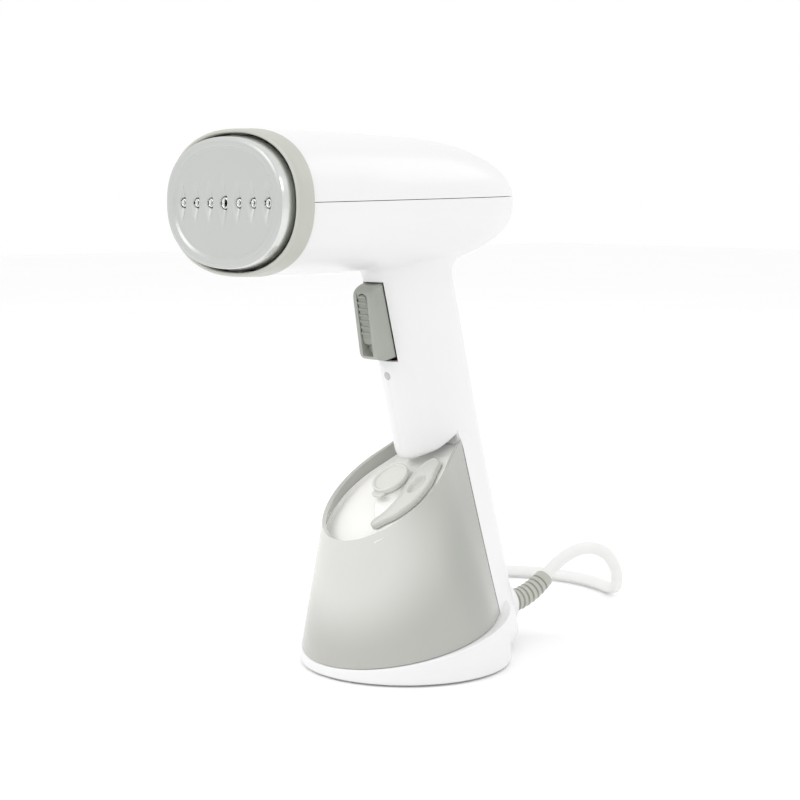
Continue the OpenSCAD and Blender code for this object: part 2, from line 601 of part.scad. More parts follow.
// Release plate along the near rim, with a finger hole; x and distance up the deck of each point
latch_x = 17;
latch_y = -7.5;
LATCH = [[0, 12, 5.4], [2.5, 0, 8.2], [4.6, -13, 6.6], [2.6, -24, 4.6], [-2, -31.5, 2.8]];
module latch_outline() for (i = [0:len(LATCH) - 2]) hull() for (c = [LATCH[i], LATCH[i + 1]])
    translate([c[0], c[1]]) circle(r = c[2], $fn = 28);
module tank_latch() color("silver") on_deck(latch_x, latch_y, deck_lift + latch_seat) difference() {
    linear_extrude(3.4) latch_outline();
    translate([0, 0, 1]) linear_extrude(4) intersection() {
        circle(r = 5.4, $fn = 40);
        translate([-3.4, -8]) square([6.8, 16]);
    }
}
module latch_spring() color("silver") on_deck(latch_x + 3, latch_y - 13, deck_lift + latch_seat - 1.2)
    for (i = [0:4]) translate([0, -i * 1.3 - 3, 0]) rotate([90, 0, 0]) rotate_extrude($fn = 24)
        translate([0.8, 0]) circle(r = 0.25, $fn = 14);
// Valve in the tank's back wall, opened inwards
valve_r = 7.4;
module valve_body() color("silver") at_dock() difference() {
    union() {
        translate([0, 0, 0.8]) cylinder(h = 13, r = valve_r, $fn = 32);
        translate([0, 0, 3.9]) cylinder(h = 1.4, r = valve_r + 0.8, $fn = 32);
    }
    translate([0, 0, -1]) cylinder(h = 7, r = dock_r + 0.9, $fn = 32);
    translate([0, 0, 5]) cylinder(h = 12, r = 2.2, $fn = 24);
    translate([0, 0, 7]) cylinder(h = 5, r = 6, $fn = 32);
}
module valve_poppet() color("dimgray") at_dock() {
    translate([0, 0, 7.05]) cylinder(h = 1.5, r = 4, $fn = 28);
    translate([0, 0, 6.2]) cylinder(h = 10, r = 1.2, $fn = 20);
}
module valve_spring() color("silver") at_dock() for (i = [0:1]) translate([0, 0, 11.55 - i * 0.5])
    rotate_extrude($fn = 28) translate([3, 0]) circle(r = 0.24, $fn = 14);
module dock_spigot() color("silver") at_dock() difference() {
    union() {
        translate([0, 0, -8]) cylinder(h = 12.4, r = dock_r, $fn = 28);
        translate([0, 0, -5.2]) cylinder(h = 1.6, r = dock_r + 2.4, $fn = 28);
    }
    translate([0, 0, -9]) cylinder(h = 16, r = 2, $fn = 20);
}
module dock_seal() color("black") at_dock() translate([0, 0, 2.6]) rotate_extrude($fn = 32)
    translate([dock_r + 0.42, 0]) circle(r = 0.42, $fn = 16);

// Cord outlet: ribbed boot that bends upwards, clamp and screws
boot_bend_r = 50;
boot_bend = 38;
boot_root_y = boss_y - 2;
rib_pitch = 3.6;
boot_ribs = 8;
function boot_at(s) = let (a = s / boot_bend_r * 180 / PI)
    [0, boot_root_y + boot_bend_r * sin(a), boss_z + boot_bend_r * (1 - cos(a))];
boot_len = boot_bend_r * boot_bend * PI / 180;
function boot_r(s) = 6.4 - 1.3 * s / boot_len;
BOOT_S = concat([-12, -3.6, -3.5, -2, -1.9], [for (i = [0:boot_ribs - 1]) for (k = [0, 1, 2.3, 2.4])
    i * rib_pitch + k], [boot_ribs * rib_pitch, boot_len]);
BOOT_R = concat([5.2, 5.2, 8.6, 8.6, 5.4], [for (i = [0:boot_ribs - 1]) for (k = [0, 1, 2.3, 2.4])
    (k == 0 || k == 2.4) ? boot_r(i * rib_pitch) - 1.3 : boot_r(i * rib_pitch)],
    [boot_r(boot_len) + 0.2, boot_r(boot_len)]);
module strain_relief_boot() color("gray") swept([for (s = BOOT_S) s < 0 ?
    [0, boot_root_y + s, boss_z] : boot_at(s)], BOOT_R, 14);
clamp_y = boss_y - 17;
module cord_clamp() color("whitesmoke") difference() {
    translate([-13, clamp_y - 3, boss_z - 6]) cube([26, 6, 5]);
    translate([0, clamp_y, boss_z]) rotate([90, 0, 0]) cylinder(h = 20, r = 3.4, center = true, $fn = 24);
    for (s = [-1, 1]) translate([s * 9.5, clamp_y, boss_z - 8]) cylinder(h = 12, r = 1.5, $fn = 20);
}
module clamp_screws() color("silver") for (s = [-1, 1]) translate([s * 9.5, clamp_y, boss_z - 8]) {
    cylinder(h = 2, r = 2.6, $fn = 20);
    cylinder(h = 9, r = 1.45, $fn = 20);
}

// Mains lead: over a low arch, down to the table and round to a coil behind the foot
LEAD = [[0, 101, 31], [0, 107, 35.2], [0, 114, 39], [0, 122, 41.8], [0, 131, 43], [-1, 141, 41.5],
    [-3, 152, 37.2], [-7, 162, 30.5], [-13, 172, 22], [-21, 181, 13.8], [-30, 189, 7.6], [-41, 195, 4.5],
    [-53, 199, 4.2], [-66, 201, 4.2], [-79, 200.5, 4.2], [-92, 197.5, 4.2], [-105, 191.5, 4.2],
    [-117, 182.5, 4.2], [-127, 171, 4.2], [-134, 158, 4.2], [-139, 144, 4.2], [-141.5, 129, 4.2],
    [-142, 114, 4.2], [-142, 103, 4.2]];
coil_x = -100;
coil_y = 83;
coil_mean_r = 5 * lead_d;
coil_half = 1.5 * lead_d;
coil_lift = 0.7;
module mains_lead() color("white") swept(LEAD, lead_d / 2, 8);
tie_w = 9;
tie_t = 0.7;
tie_slack = 0.5;                    // the coil's inside is round and the tie is flat
module coil_solid(r_in, r_out, z0, z1) translate([coil_x, coil_y, 0]) rotate_extrude($fn = 72)
    translate([r_in, z0]) square([r_out - r_in, z1 - z0]);
module lead_coil() color("white") coil_solid(coil_mean_r - coil_half, coil_mean_r + coil_half,
    coil_lift, coil_lift + 3 * lead_d);
module coil_tie() color("black") difference() {
    translate([coil_x - tie_w / 2, coil_y + coil_mean_r - coil_half - tie_slack - tie_t, 0])
        cube([tie_w, 2 * coil_half + tie_slack + 2 * tie_t, 3 * lead_d + coil_lift + tie_t]);
    translate([coil_x - tie_w, coil_y + coil_mean_r - coil_half - tie_slack, coil_lift])
        cube([2 * tie_w, 2 * coil_half + tie_slack, 3 * lead_d]);
}
plug_x = -96;
plug_y = coil_y - coil_mean_r;
plug_l = 33;
plug_half_h = 8.5;
plug_z = coil_lift + 3 * lead_d + plug_half_h;
blade_gap = 12.7;
module plug_body() color("white") difference() {
    union() {
        hull() {
            translate([plug_x, plug_y - 8, plug_z - 5.5]) cube([2, 16, 11]);
            translate([plug_x + 9, plug_y - 12.5, plug_z - plug_half_h]) cube([plug_l - 9, 25, 2 * plug_half_h]);
        }
        translate([plug_x - 14, plug_y, plug_z]) rotate([0, 90, 0]) cylinder(h = 15, r = lead_d / 2 + 1.2, $fn = 24);
    }
    for (s = [-1, 1]) translate([plug_x + plug_l - 8, plug_y + s * blade_gap / 2 - 0.75, plug_z - 3.2])
        cube([10, 1.5, 6.4]);
}
module plug_blades() color("gold") for (s = [-1, 1])
    translate([plug_x + plug_l - 7.9, plug_y + s * blade_gap / 2 - 0.75, plug_z - 3.2]) cube([24.4, 1.5, 6.4]);

head_top_cover();
body_shell_left();
body_shell_right();
base_foot();
rubber_foot_pad();
foot_screws();
body_screws();
bezel_ring();
soleplate();
steam_nozzles();
soleplate_gasket();
boiler_block();
boiler_lid();
heating_element();
thermostat();
thermal_fuse();
heat_shield();
boiler_screws();
trigger();
trigger_pin();
trigger_spring();
lock_slider();
microswitch();
switch_plunger();
control_board();
indicator_lens();
water_pump();
pump_mounts();
suction_hose();
delivery_hose();
wiring_loom();
tank_shell();
tank_deck();
filler_cap();
cap_seal();
tank_latch();
latch_spring();
valve_body();
valve_poppet();
valve_spring();
dock_spigot();
dock_seal();
strain_relief_boot();
cord_clamp();
clamp_screws();
mains_lead();
lead_coil();
coil_tie();
plug_body();
plug_blades();
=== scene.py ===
"""A handheld garment steamer standing on its round foot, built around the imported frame.

Lengths are in millimetres in the shape functions and become metres when a mesh is made. A shape function
returns a sheet, points and quads, and skin() makes it a piece, with its body, its slot and its CAD nodes.
"""
import json
import math

import bmesh
import bpy
import numpy as np
from mathutils import Matrix


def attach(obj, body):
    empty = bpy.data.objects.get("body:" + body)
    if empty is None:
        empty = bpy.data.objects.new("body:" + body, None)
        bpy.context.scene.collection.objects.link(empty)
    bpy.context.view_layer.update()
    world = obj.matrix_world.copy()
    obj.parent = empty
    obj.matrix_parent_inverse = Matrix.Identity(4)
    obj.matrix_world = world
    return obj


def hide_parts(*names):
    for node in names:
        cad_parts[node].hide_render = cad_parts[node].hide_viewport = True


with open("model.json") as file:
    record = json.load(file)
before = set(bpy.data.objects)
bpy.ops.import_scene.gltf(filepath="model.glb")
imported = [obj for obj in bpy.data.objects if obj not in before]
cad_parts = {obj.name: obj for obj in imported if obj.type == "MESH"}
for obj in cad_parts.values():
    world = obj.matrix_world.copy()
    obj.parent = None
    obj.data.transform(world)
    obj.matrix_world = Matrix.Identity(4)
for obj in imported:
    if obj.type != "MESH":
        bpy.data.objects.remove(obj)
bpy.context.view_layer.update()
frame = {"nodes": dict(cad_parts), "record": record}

MM = 0.001
PI = math.pi

# ---------------------------------------------------------------- camera
AZIMUTH = math.radians(50.5)
STAND_OFF, EYE_HEIGHT, SIDE_STEP = 924.0, 242.0, -3.08
PITCH = math.atan(204.0 / 1800.0)
SENSOR_MM, LENS_MM = 36.0, 81.0
right = np.array([math.cos(AZIMUTH), math.sin(AZIMUTH)])
ahead = np.array([-math.sin(AZIMUTH), math.cos(AZIMUTH)])
eye = -ahead * STAND_OFF + right * SIDE_STEP
camera_data = bpy.data.cameras.new("camera")
camera_data.sensor_width = SENSOR_MM
camera_data.lens = LENS_MM
camera = bpy.data.objects.new("camera", camera_data)
camera.location = (eye[0] * MM, eye[1] * MM, EYE_HEIGHT * MM)
camera.rotation_euler = (PI / 2 - PITCH, 0, AZIMUTH)
bpy.context.scene.collection.objects.link(camera)
bpy.context.scene.camera = camera

# ---------------------------------------------------------------- sizes shared with the part's source
GRIP_W, GRIP_D, GRIP_LEAN = 38.0, 51.0, 0.239
LEAN = math.atan(GRIP_LEAN)
HEAD_Z, HEAD_W, HEAD_H, HEAD_FRONT, HEAD_BACK = 238.7, 104.0, 69.0, -98.0, 64.0
HEAD_N = 2.25
RIM_TOP = 117.7
# Foot: radius, height of its top at the front, and the slope of that top
FOOT_R, FOOT_LOW, FOOT_SLOPE = 55, 6.5, 0.225
# Tank: radius at the surface, how fast it narrows and its middle moves forward with height, its underside
TANK_R, TANK_TAPER, TANK_BOW, TANK_LOW = 56, 0.225, -0.075, 6.9
# Rim plane of the tank: its front point and its slope
DECK_Y, DECK_Z, DECK_SLOPE = -45, 70, 0.742
DECK = math.atan(DECK_SLOPE)
# Outlet of the lead: depth of its face and height of its axis
BOSS_Y, BOSS_Z = 72.0, 20.0


# ---------------------------------------------------------------- mesh helpers
def rod(low, high, count):
    """Evenly spaced numbers from low to high."""
    return np.linspace(low, high, count)


def ease(x):
    """Smooth step: 0 below 0, 1 above 1, 3x^2 - 2x^3 between."""
    x = np.clip(x, 0, 1)
    return x * x * (3 - 2 * x)


def stack(x, y, z):
    """Points from three arrays of the same or broadcastable shape."""
    return np.stack(np.broadcast_arrays(x, y, z), -1).astype(float)


def sheet(points, inside, wrap=False, keep=None):
    """Quads through a grid of points (rows x columns x 3). wrap joins the last column to the first, keep
    masks the quads, and the faces are turned to point away from the point inside."""
    rows, cols = points.shape[:2]
    index = np.arange(rows * cols).reshape(rows, cols)
    beside = np.roll(index, -1, 1)
    quads = np.stack([index[:-1], beside[:-1], beside[1:], index[1:]], -1)
    if not wrap:
        quads = quads[:, :-1]
    quads = quads[keep] if keep is not None else quads.reshape(-1, 4)
    verts = points.reshape(-1, 3)
    a, b, c, d = (verts[quads[:, k]] for k in range(4))
    normal = np.cross(c - a, d - b)
    out = ((a + b + c + d) / 4 - np.asarray(inside, float)) * normal
    if out.sum() < 0:
        quads = quads[:, ::-1]
    return verts, quads


def piece(name, sheets, material, wall=0.0, bevel=0.0, closed=False, angle=50):
    """One object from sheets. Doubles are merged, a wall grows inwards, and edges sharper than angle degrees
    are rounded."""
    verts, quads, start = [], [], 0
    for v, q in sheets:
        verts.append(v)
        quads.append(q + start)
        start += len(v)
    verts = np.concatenate(verts) * MM
    quads = np.concatenate(quads)
    mesh = bpy.data.meshes.new(name)
    mesh.from_pydata(verts.tolist(), [], quads.tolist())
    tidy = bmesh.new()
    tidy.from_mesh(mesh)
    bmesh.ops.remove_doubles(tidy, verts=tidy.verts, dist=2e-6)
    bmesh.ops.dissolve_degenerate(tidy, edges=tidy.edges, dist=1e-7)
    if closed:
        bmesh.ops.recalc_face_normals(tidy, faces=tidy.faces)
    tidy.to_mesh(mesh)
    tidy.free()
    mesh.polygons.foreach_set("use_smooth", [True] * len(mesh.polygons))
    obj = bpy.data.objects.new(name, mesh)
    bpy.context.scene.collection.objects.link(obj)
    if wall:
        thick = obj.modifiers.new("wall", "SOLIDIFY")
        thick.thickness = wall * MM
        thick.offset = -1
        thick.use_even_offset = False
    if bevel:
        edge = obj.modifiers.new("edges", "BEVEL")
        edge.width = bevel * MM
        edge.segments = 3
        edge.limit_method = "ANGLE"
        edge.angle_limit = math.radians(angle)
        edge.harden_normals = True
    mesh.materials.append(material)
    return obj


def place(obj, body, slot, *stands_for):
    """Lets obj ride on a body and stand for CAD nodes; the slot is not used."""
    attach(obj, body)
    if stands_for:
        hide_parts(*stands_for)
    return obj


def skin(name, sheets, body, slot, *stands_for, **shape):
    """A piece in the finish of its slot, placed on its body in place of CAD nodes."""
    return place(piece(name, sheets, FINISHES[slot], **shape), body, slot, *stands_for)


def flow(x, knots, values):
    """Monotone cubic curve through knots: harmonic-mean slopes, then cubic Hermite pieces."""
    knots, values = np.asarray(knots, float), np.asarray(values, float)
    step, rise = np.diff(knots), np.diff(values)
    slope = rise / step
    inner = np.where(slope[:-1] * slope[1:] > 0,
                     2 * slope[:-1] * slope[1:] / np.where(slope[:-1] + slope[1:] == 0, 1, slope[:-1] + slope[1:]), 0)
    tangent = np.concatenate([[slope[0]], inner, [slope[-1]]])
    k = np.clip(np.searchsorted(knots, x, side="right") - 1, 0, len(step) - 1)
    t = (x - knots[k]) / step[k]
    return ((1 + 2 * t) * (1 - t) ** 2 * values[k] + t * (1 - t) ** 2 * step[k] * tangent[k]
            + t * t * (3 - 2 * t) * values[k + 1] + t * t * (t - 1) * step[k] * tangent[k + 1])


def superoval(width, height, power, turn):
    """Point of a superellipse: half width times |cos|^(2/n), half height times |sin|^(2/n), signs kept."""
    c, s = np.cos(turn), np.sin(turn)
    return (width / 2 * np.sign(c) * np.abs(c) ** (2 / power),
            height / 2 * np.sign(s) * np.abs(s) ** (2 / power))


def rounded(corners, radii, each=6):
    """Closed outline through corners, each cut back by its radius and bridged by a quadratic curve."""
    p = np.asarray(corners, float)
    r = np.broadcast_to(np.asarray(radii, float), len(p))[:, None]
    before, after = np.roll(p, 1, 0) - p, np.roll(p, -1, 0) - p
    a = p + before / np.linalg.norm(before, axis=1, keepdims=True) * r
    b = p + after / np.linalg.norm(after, axis=1, keepdims=True) * r
    t = rod(0, 1, each)[None, :, None]
    return ((1 - t) ** 2 * a[:, None] + 2 * t * (1 - t) * p[:, None] + t * t * b[:, None]).reshape(-1, 2)


def turned(profile, count, origin, axis="z", start=0.0, sweep=2 * PI):
    """Surface of revolution: profile rows are (radius, height), carried round an axis through origin."""
    profile = np.asarray(profile, float)
    whole = abs(sweep - 2 * PI) < 1e-9
    a = start + sweep * (np.arange(count) / (count if whole else count - 1))
    r, h = profile[:, :1], profile[:, 1:]
    u, v, w = r * np.cos(a), r * np.sin(a), h + 0 * a
    grid = {"z": stack(u, v, w), "y": stack(u, w, v), "x": stack(w, u, v)}[axis]
    return grid + np.asarray(origin, float)


def tilted(points, origin, angle):
    """Turns points about X by angle and moves them to origin."""
    c, s = math.cos(angle), math.sin(angle)
    x, y, z = points[..., 0], points[..., 1], points[..., 2]
    return stack(x, y * c - z * s, y * s + z * c) + np.asarray(origin, float)


# ---------------------------------------------------------------- procedural finishes
def finish(name, color, rough, metal=0.0, grain=(1400, 0.12), mottle=(35, 0.05), coat=0.0, clear=0.0,
           spread=0.08, stretch=None, sheen=0.0, index=1.5):
    """A moulded, cast or drawn finish. Broad noise shifts the colour by mottle, and the roughness by
    spread; fine noise on Object coordinates raises the grain; stretch draws both out along an axis."""
    made = bpy.data.materials.new(name)
    made.use_nodes = True
    tree = made.node_tree
    links, shader = tree.links, tree.nodes["Principled BSDF"]
    shader.inputs["Metallic"].default_value = metal
    shader.inputs["Coat Weight"].default_value = coat
    shader.inputs["Coat Roughness"].default_value = 0.12
    shader.inputs["Transmission Weight"].default_value = clear
    shader.inputs["IOR"].default_value = index
    shader.inputs["Sheen Weight"].default_value = sheen
    where = tree.nodes.new("ShaderNodeTexCoord")
    source = where.outputs["Object"]
    if stretch:
        mapping = tree.nodes.new("ShaderNodeMapping")
        mapping.inputs["Scale"].default_value = stretch
        links.new(source, mapping.inputs["Vector"])
        source = mapping.outputs["Vector"]
    broad = tree.nodes.new("ShaderNodeTexNoise")
    broad.inputs["Scale"].default_value = mottle[0]
    broad.inputs["Detail"].default_value = 3.0
    links.new(source, broad.inputs["Vector"])
    ramp = tree.nodes.new("ShaderNodeValToRGB")
    low = [max(0.0, c * (1 - mottle[1])) for c in color]
    high = [min(1.0, c * (1 + mottle[1] * 0.6)) for c in color]
    ramp.color_ramp.elements[0].position, ramp.color_ramp.elements[0].color = 0.2, (*low, 1)
    ramp.color_ramp.elements[1].position, ramp.color_ramp.elements[1].color = 0.8, (*high, 1)
    links.new(broad.outputs["Fac"], ramp.inputs["Fac"])
    links.new(ramp.outputs["Color"], shader.inputs["Base Color"])
    fine = tree.nodes.new("ShaderNodeTexNoise")
    fine.inputs["Scale"].default_value = grain[0]
    fine.inputs["Detail"].default_value = 4.0
    links.new(source, fine.inputs["Vector"])
    gloss = tree.nodes.new("ShaderNodeMapRange")
    gloss.inputs["From Min"].default_value, gloss.inputs["From Max"].default_value = 0.2, 0.8
    gloss.inputs["To Min"].default_value = max(0.02, rough - spread / 2)
    gloss.inputs["To Max"].default_value = rough + spread / 2
    links.new(broad.outputs["Fac"], gloss.inputs["Value"])
    links.new(gloss.outputs["Result"], shader.inputs["Roughness"])
    bump = tree.nodes.new("ShaderNodeBump")
    bump.inputs["Strength"].default_value = grain[1]
    bump.inputs["Distance"].default_value = 0.0002
    links.new(fine.outputs["Fac"], bump.inputs["Height"])
    links.new(bump.outputs["Normal"], shader.inputs["Normal"])
    return made


def frosted_with_painted_light(name, color, painted_light_zones, **detail):
    """Smoked clear plastic with painted light: each zone, a soft ellipsoid about a point, takes another colour. On the
    tank a pale zone at the front is a painted highlight and a dark zone towards the back is painted shade."""
    made = finish(name, color, 0.24, **detail)
    tree = made.node_tree
    tint = tree.nodes["Color Ramp"].outputs["Color"]
    # each zone mixes in a colour of painted light: pale for a painted highlight, dark for painted shade
    for painted_tone, at, size in painted_light_zones:
        mapping = tree.nodes.new("ShaderNodeMapping")
        mapping.inputs["Location"].default_value = [-a / b for a, b in zip(at, size)]
        mapping.inputs["Scale"].default_value = [1 / b for b in size]
        tree.links.new(tree.nodes["Texture Coordinate"].outputs["Object"], mapping.inputs["Vector"])
        ball = tree.nodes.new("ShaderNodeTexGradient")
        ball.gradient_type = "SPHERICAL"
        tree.links.new(mapping.outputs["Vector"], ball.inputs["Vector"])
        soft = tree.nodes.new("ShaderNodeMapRange")
        soft.interpolation_type = "SMOOTHSTEP"
        soft.inputs["From Max"].default_value = 0.6
        tree.links.new(ball.outputs["Fac"], soft.inputs["Value"])
        mix = tree.nodes.new("ShaderNodeMix")
        mix.data_type = "RGBA"
        tree.links.new(soft.outputs["Result"], mix.inputs[0])
        tree.links.new(tint, mix.inputs[6])
        mix.inputs[7].default_value = (*painted_tone, 1)
        tint = mix.outputs[2]
    tree.links.new(tint, tree.nodes["Principled BSDF"].inputs["Base Color"])
    return made


def woven(name, color, pitch):
    """Tape cloth: two crossed wave patterns a thread apart raise the warp and weft."""
    made = finish(name, color, 0.85, grain=(2600, 0.2), mottle=(120, 0.2), sheen=0.4)
    tree = made.node_tree
    where = tree.nodes["Texture Coordinate"]
    shader, old = tree.nodes["Principled BSDF"], tree.nodes["Bump"]
    total = None
    for direction in ("X", "Z"):
        wave = tree.nodes.new("ShaderNodeTexWave")
        wave.bands_direction = direction
        wave.inputs["Scale"].default_value = pitch
        wave.inputs["Distortion"].default_value = 0.4
        tree.links.new(where.outputs["Object"], wave.inputs["Vector"])
        if total is None:
            total = wave.outputs["Fac"]
        else:
            both = tree.nodes.new("ShaderNodeMath")
            both.operation = "MULTIPLY"
            tree.links.new(total, both.inputs[0])
            tree.links.new(wave.outputs["Fac"], both.inputs[1])
            total = both.outputs["Value"]
    weave = tree.nodes.new("ShaderNodeBump")
    weave.inputs["Strength"].default_value = 0.7
    weave.inputs["Distance"].default_value = 0.0004
    tree.links.new(total, weave.inputs["Height"])
    tree.links.new(old.outputs["Normal"], weave.inputs["Normal"])
    tree.links.new(weave.outputs["Normal"], shader.inputs["Normal"])
    return made


FINISHES = {
    "white_cover": finish("white_cover", (0.775, 0.777, 0.777), 0.34, grain=(1900, 0.07), mottle=(18, 0.015),
                          coat=0.15),
    "foot_white": finish("foot_white", (0.79, 0.792, 0.792), 0.36, grain=(1900, 0.08), mottle=(18, 0.015), coat=0.1),
    "bezel_grey": finish("bezel_grey", (0.475, 0.485, 0.435), 0.42, grain=(2200, 0.12), mottle=(25, 0.03)),
    "sole_silver": finish("sole_silver", (0.475, 0.49, 0.475), 0.34, metal=0.4, grain=(2600, 0.04), mottle=(30, 0.02),
                          spread=0.04, coat=0.25),
    "nozzle_silver": finish("nozzle_silver", (0.70, 0.71, 0.70), 0.2, metal=1.0, grain=(3000, 0.03),
                            mottle=(200, 0.05)),
    "silicone_red": finish("silicone_red", (0.6, 0.15, 0.08), 0.6, mottle=(60, 0.1)),
    "cast_aluminium": finish("cast_aluminium", (0.55, 0.56, 0.57), 0.5, metal=0.9, grain=(700, 0.5), mottle=(90, 0.15)),
    "heater_steel": finish("heater_steel", (0.36, 0.33, 0.29), 0.4, metal=0.9, grain=(900, 0.2), mottle=(60, 0.3)),
    "ceramic": finish("ceramic", (0.78, 0.74, 0.64), 0.55, mottle=(90, 0.08)),
    "bright_steel": finish("bright_steel", (0.68, 0.69, 0.71), 0.28, metal=1.0, grain=(1800, 0.1), mottle=(150, 0.1)),
    "shield_sheet": finish("shield_sheet", (0.74, 0.75, 0.76), 0.3, metal=1.0, grain=(900, 0.15), stretch=(1, 8, 1)),
    "trigger_grey": finish("trigger_grey", (0.34, 0.36, 0.32), 0.36, grain=(2000, 0.16), mottle=(60, 0.06)),
    "slider_grey": finish("slider_grey", (0.27, 0.28, 0.25), 0.45, grain=(2000, 0.2), mottle=(80, 0.08)),
    "switch_black": finish("switch_black", (0.04, 0.04, 0.04), 0.5, mottle=(90, 0.2)),
    "switch_red": finish("switch_red", (0.5, 0.07, 0.05), 0.45, mottle=(120, 0.1)),
    "board_green": finish("board_green", (0.04, 0.22, 0.09), 0.35, grain=(500, 0.3), mottle=(300, 0.3)),
    "lens_clear": finish("lens_clear", (0.83, 0.83, 0.82), 0.22, clear=0.55, grain=(1500, 0.1), mottle=(300, 0.04)),
    "pump_brass": finish("pump_brass", (0.66, 0.5, 0.26), 0.35, metal=0.9, grain=(900, 0.4), stretch=(1, 1, 9)),
    "pump_rubber": finish("pump_rubber", (0.05, 0.05, 0.05), 0.7, mottle=(90, 0.2)),
    "hose_silicone": finish("hose_silicone", (0.72, 0.72, 0.7), 0.35, clear=0.3, mottle=(90, 0.06)),
    "wire_red": finish("wire_red", (0.45, 0.06, 0.05), 0.5, mottle=(120, 0.12)),
    # tank_smoke carries painted light: the pale zone on the front of the wall is a painted highlight, the dark zone
    # towards the back painted shade
    "tank_smoke": frosted_with_painted_light("tank_smoke", (0.48, 0.478, 0.449),
                          [((0.67, 0.666, 0.638), (0.006, -0.044, 0.064), (0.06, 0.06, 0.052)),
                           ((0.41, 0.418, 0.388), (0, 0.013, 0.058), (0.12, 0.031, 0.06))],
                          clear=0.12, grain=(2200, 0.05), mottle=(9, 0.03), index=1.45, coat=0.3),
    "deck_smoke": finish("deck_smoke", (0.93, 0.926, 0.90), 0.33, clear=0.05, grain=(2200, 0.06), mottle=(20, 0.04)),
    "cap_grey": finish("cap_grey", (0.64, 0.64, 0.605), 0.22, grain=(2200, 0.05), mottle=(40, 0.03), coat=0.3),
    "seal_grey": finish("seal_grey", (0.42, 0.42, 0.41), 0.7, mottle=(90, 0.1)),
    "latch_grey": finish("latch_grey", (0.60, 0.60, 0.57), 0.22, grain=(2200, 0.05), mottle=(40, 0.03), coat=0.3),
    "valve_grey": finish("valve_grey", (0.5, 0.5, 0.48), 0.4, mottle=(90, 0.06)),
    "boot_grey": finish("boot_grey", (0.46, 0.465, 0.42), 0.45, grain=(1800, 0.2), mottle=(70, 0.06)),
    "clamp_white": finish("clamp_white", (0.8, 0.8, 0.8), 0.45, mottle=(90, 0.05)),
    "lead_white": finish("lead_white", (0.78, 0.78, 0.77), 0.42, grain=(1500, 0.15), mottle=(60, 0.03)),
    "tie_black": woven("tie_black", (0.035, 0.035, 0.037), 900),
    "plug_white": finish("plug_white", (0.82, 0.82, 0.81), 0.42, grain=(1500, 0.18), mottle=(50, 0.03)),
    "blade_brass": finish("blade_brass", (0.78, 0.62, 0.33), 0.25, metal=1.0, grain=(1200, 0.12), mottle=(200, 0.1)),
}
for entry in frame["record"]["subparts"]:
    node = frame["nodes"][entry["node"]]
    node.data.materials.clear()
    node.data.materials.append(FINISHES[entry["material_slot"]])

# ---------------------------------------------------------------- mains lead
LEAD = np.array([[0, 101, 31], [0, 107, 35.2], [0, 114, 39], [0, 122, 41.8], [0, 131, 43], [-1, 141, 41.5],
                 [-3, 152, 37.2], [-7, 162, 30.5], [-13, 172, 22], [-21, 181, 13.8], [-30, 189, 7.6], [-41, 195, 4.5],
                 [-53, 199, 4.2], [-66, 201, 4.2], [-79, 200.5, 4.2], [-92, 197.5, 4.2], [-105, 191.5, 4.2],
                 [-117, 182.5, 4.2], [-127, 171, 4.2], [-134, 158, 4.2], [-139, 144, 4.2], [-141.5, 129, 4.2],
                 [-142, 114, 4.2], [-142, 103, 4.2], [-142, 92, 4.2]], float)
COIL_X, COIL_Y = -100.0, 83.0


def coil_path():
    """Six turns as a spiral in three layers, in on the first, out on the second, in on the third, then a
    part turn on top that opens out towards the plug. Radius and height follow monotone curves through
    marks of angle, radius and height."""
    marks = np.array([[PI, 42, 4.2], [5 * PI - 0.6, 28.6, 4.2], [5 * PI + 1.9, 28.6, 11.2], [9 * PI - 0.3, 42, 11.2],
                      [9 * PI + 1.9, 42, 18.2], [9 * PI + 8.3, 34.6, 18.2], [9 * PI + 10.6, 35.2, 26.4],
                      [9 * PI + 12.2, 38.4, 26.9], [9 * PI + 13.1, 40.1, 28.9]])
    a = rod(marks[0, 0], marks[-1, 0], 172)
    r, z = flow(a, marks[:, 0], marks[:, 1]), flow(a, marks[:, 0], marks[:, 2])
    return stack(COIL_X + r * np.cos(a), COIL_Y + r * np.sin(a), z)


def smooth_line(points, each=4):
    """Catmull-Rom curve through points: cubic pieces whose tangents are half the span of the neighbours."""
    p = np.vstack([2 * points[0] - points[1], points, 2 * points[-1] - points[-2]])
    t = (np.arange(each) / each)[None, :, None]
    a, b, c, d = (p[k:len(p) - 3 + k, None] for k in range(4))
    line = 0.5 * (2 * b + (c - a) * t + (2 * a - 5 * b + 4 * c - d) * t ** 2 + (3 * b - a - 3 * c + d) * t ** 3)
    return np.vstack([line.reshape(-1, 3), points[-1:]])


TAIL = np.array([[-130.2, 56.7, 29.4], [-124, 51.7, 29.8], [-117.1, 48.9, 30.1], [-109.5, 48, 30.2], [-101, 48, 30.2]])
route = smooth_line(np.vstack([LEAD, coil_path(), TAIL]), 3)
cord_curve = bpy.data.curves.new("mains_cord", "CURVE")
cord_curve.dimensions = "3D"
strand = cord_curve.splines.new("POLY")
strand.points.add(len(route) - 1)
strand.points.foreach_set("co", np.column_stack([route * MM, np.ones(len(route))]).ravel())
cord_curve.bevel_depth = 3.5 * MM
cord_curve.bevel_resolution = 5
cord_curve.use_fill_caps = True
cord_curve.materials.append(FINISHES["lead_white"])
mains_cord = bpy.data.objects.new("mains_cord", cord_curve)
bpy.context.scene.collection.objects.link(mains_cord)
place(mains_cord, "body", "lead_white", "mains_lead", "lead_coil")


# Axis of the plug
PLUG_Y, PLUG_Z = 48, 30.2


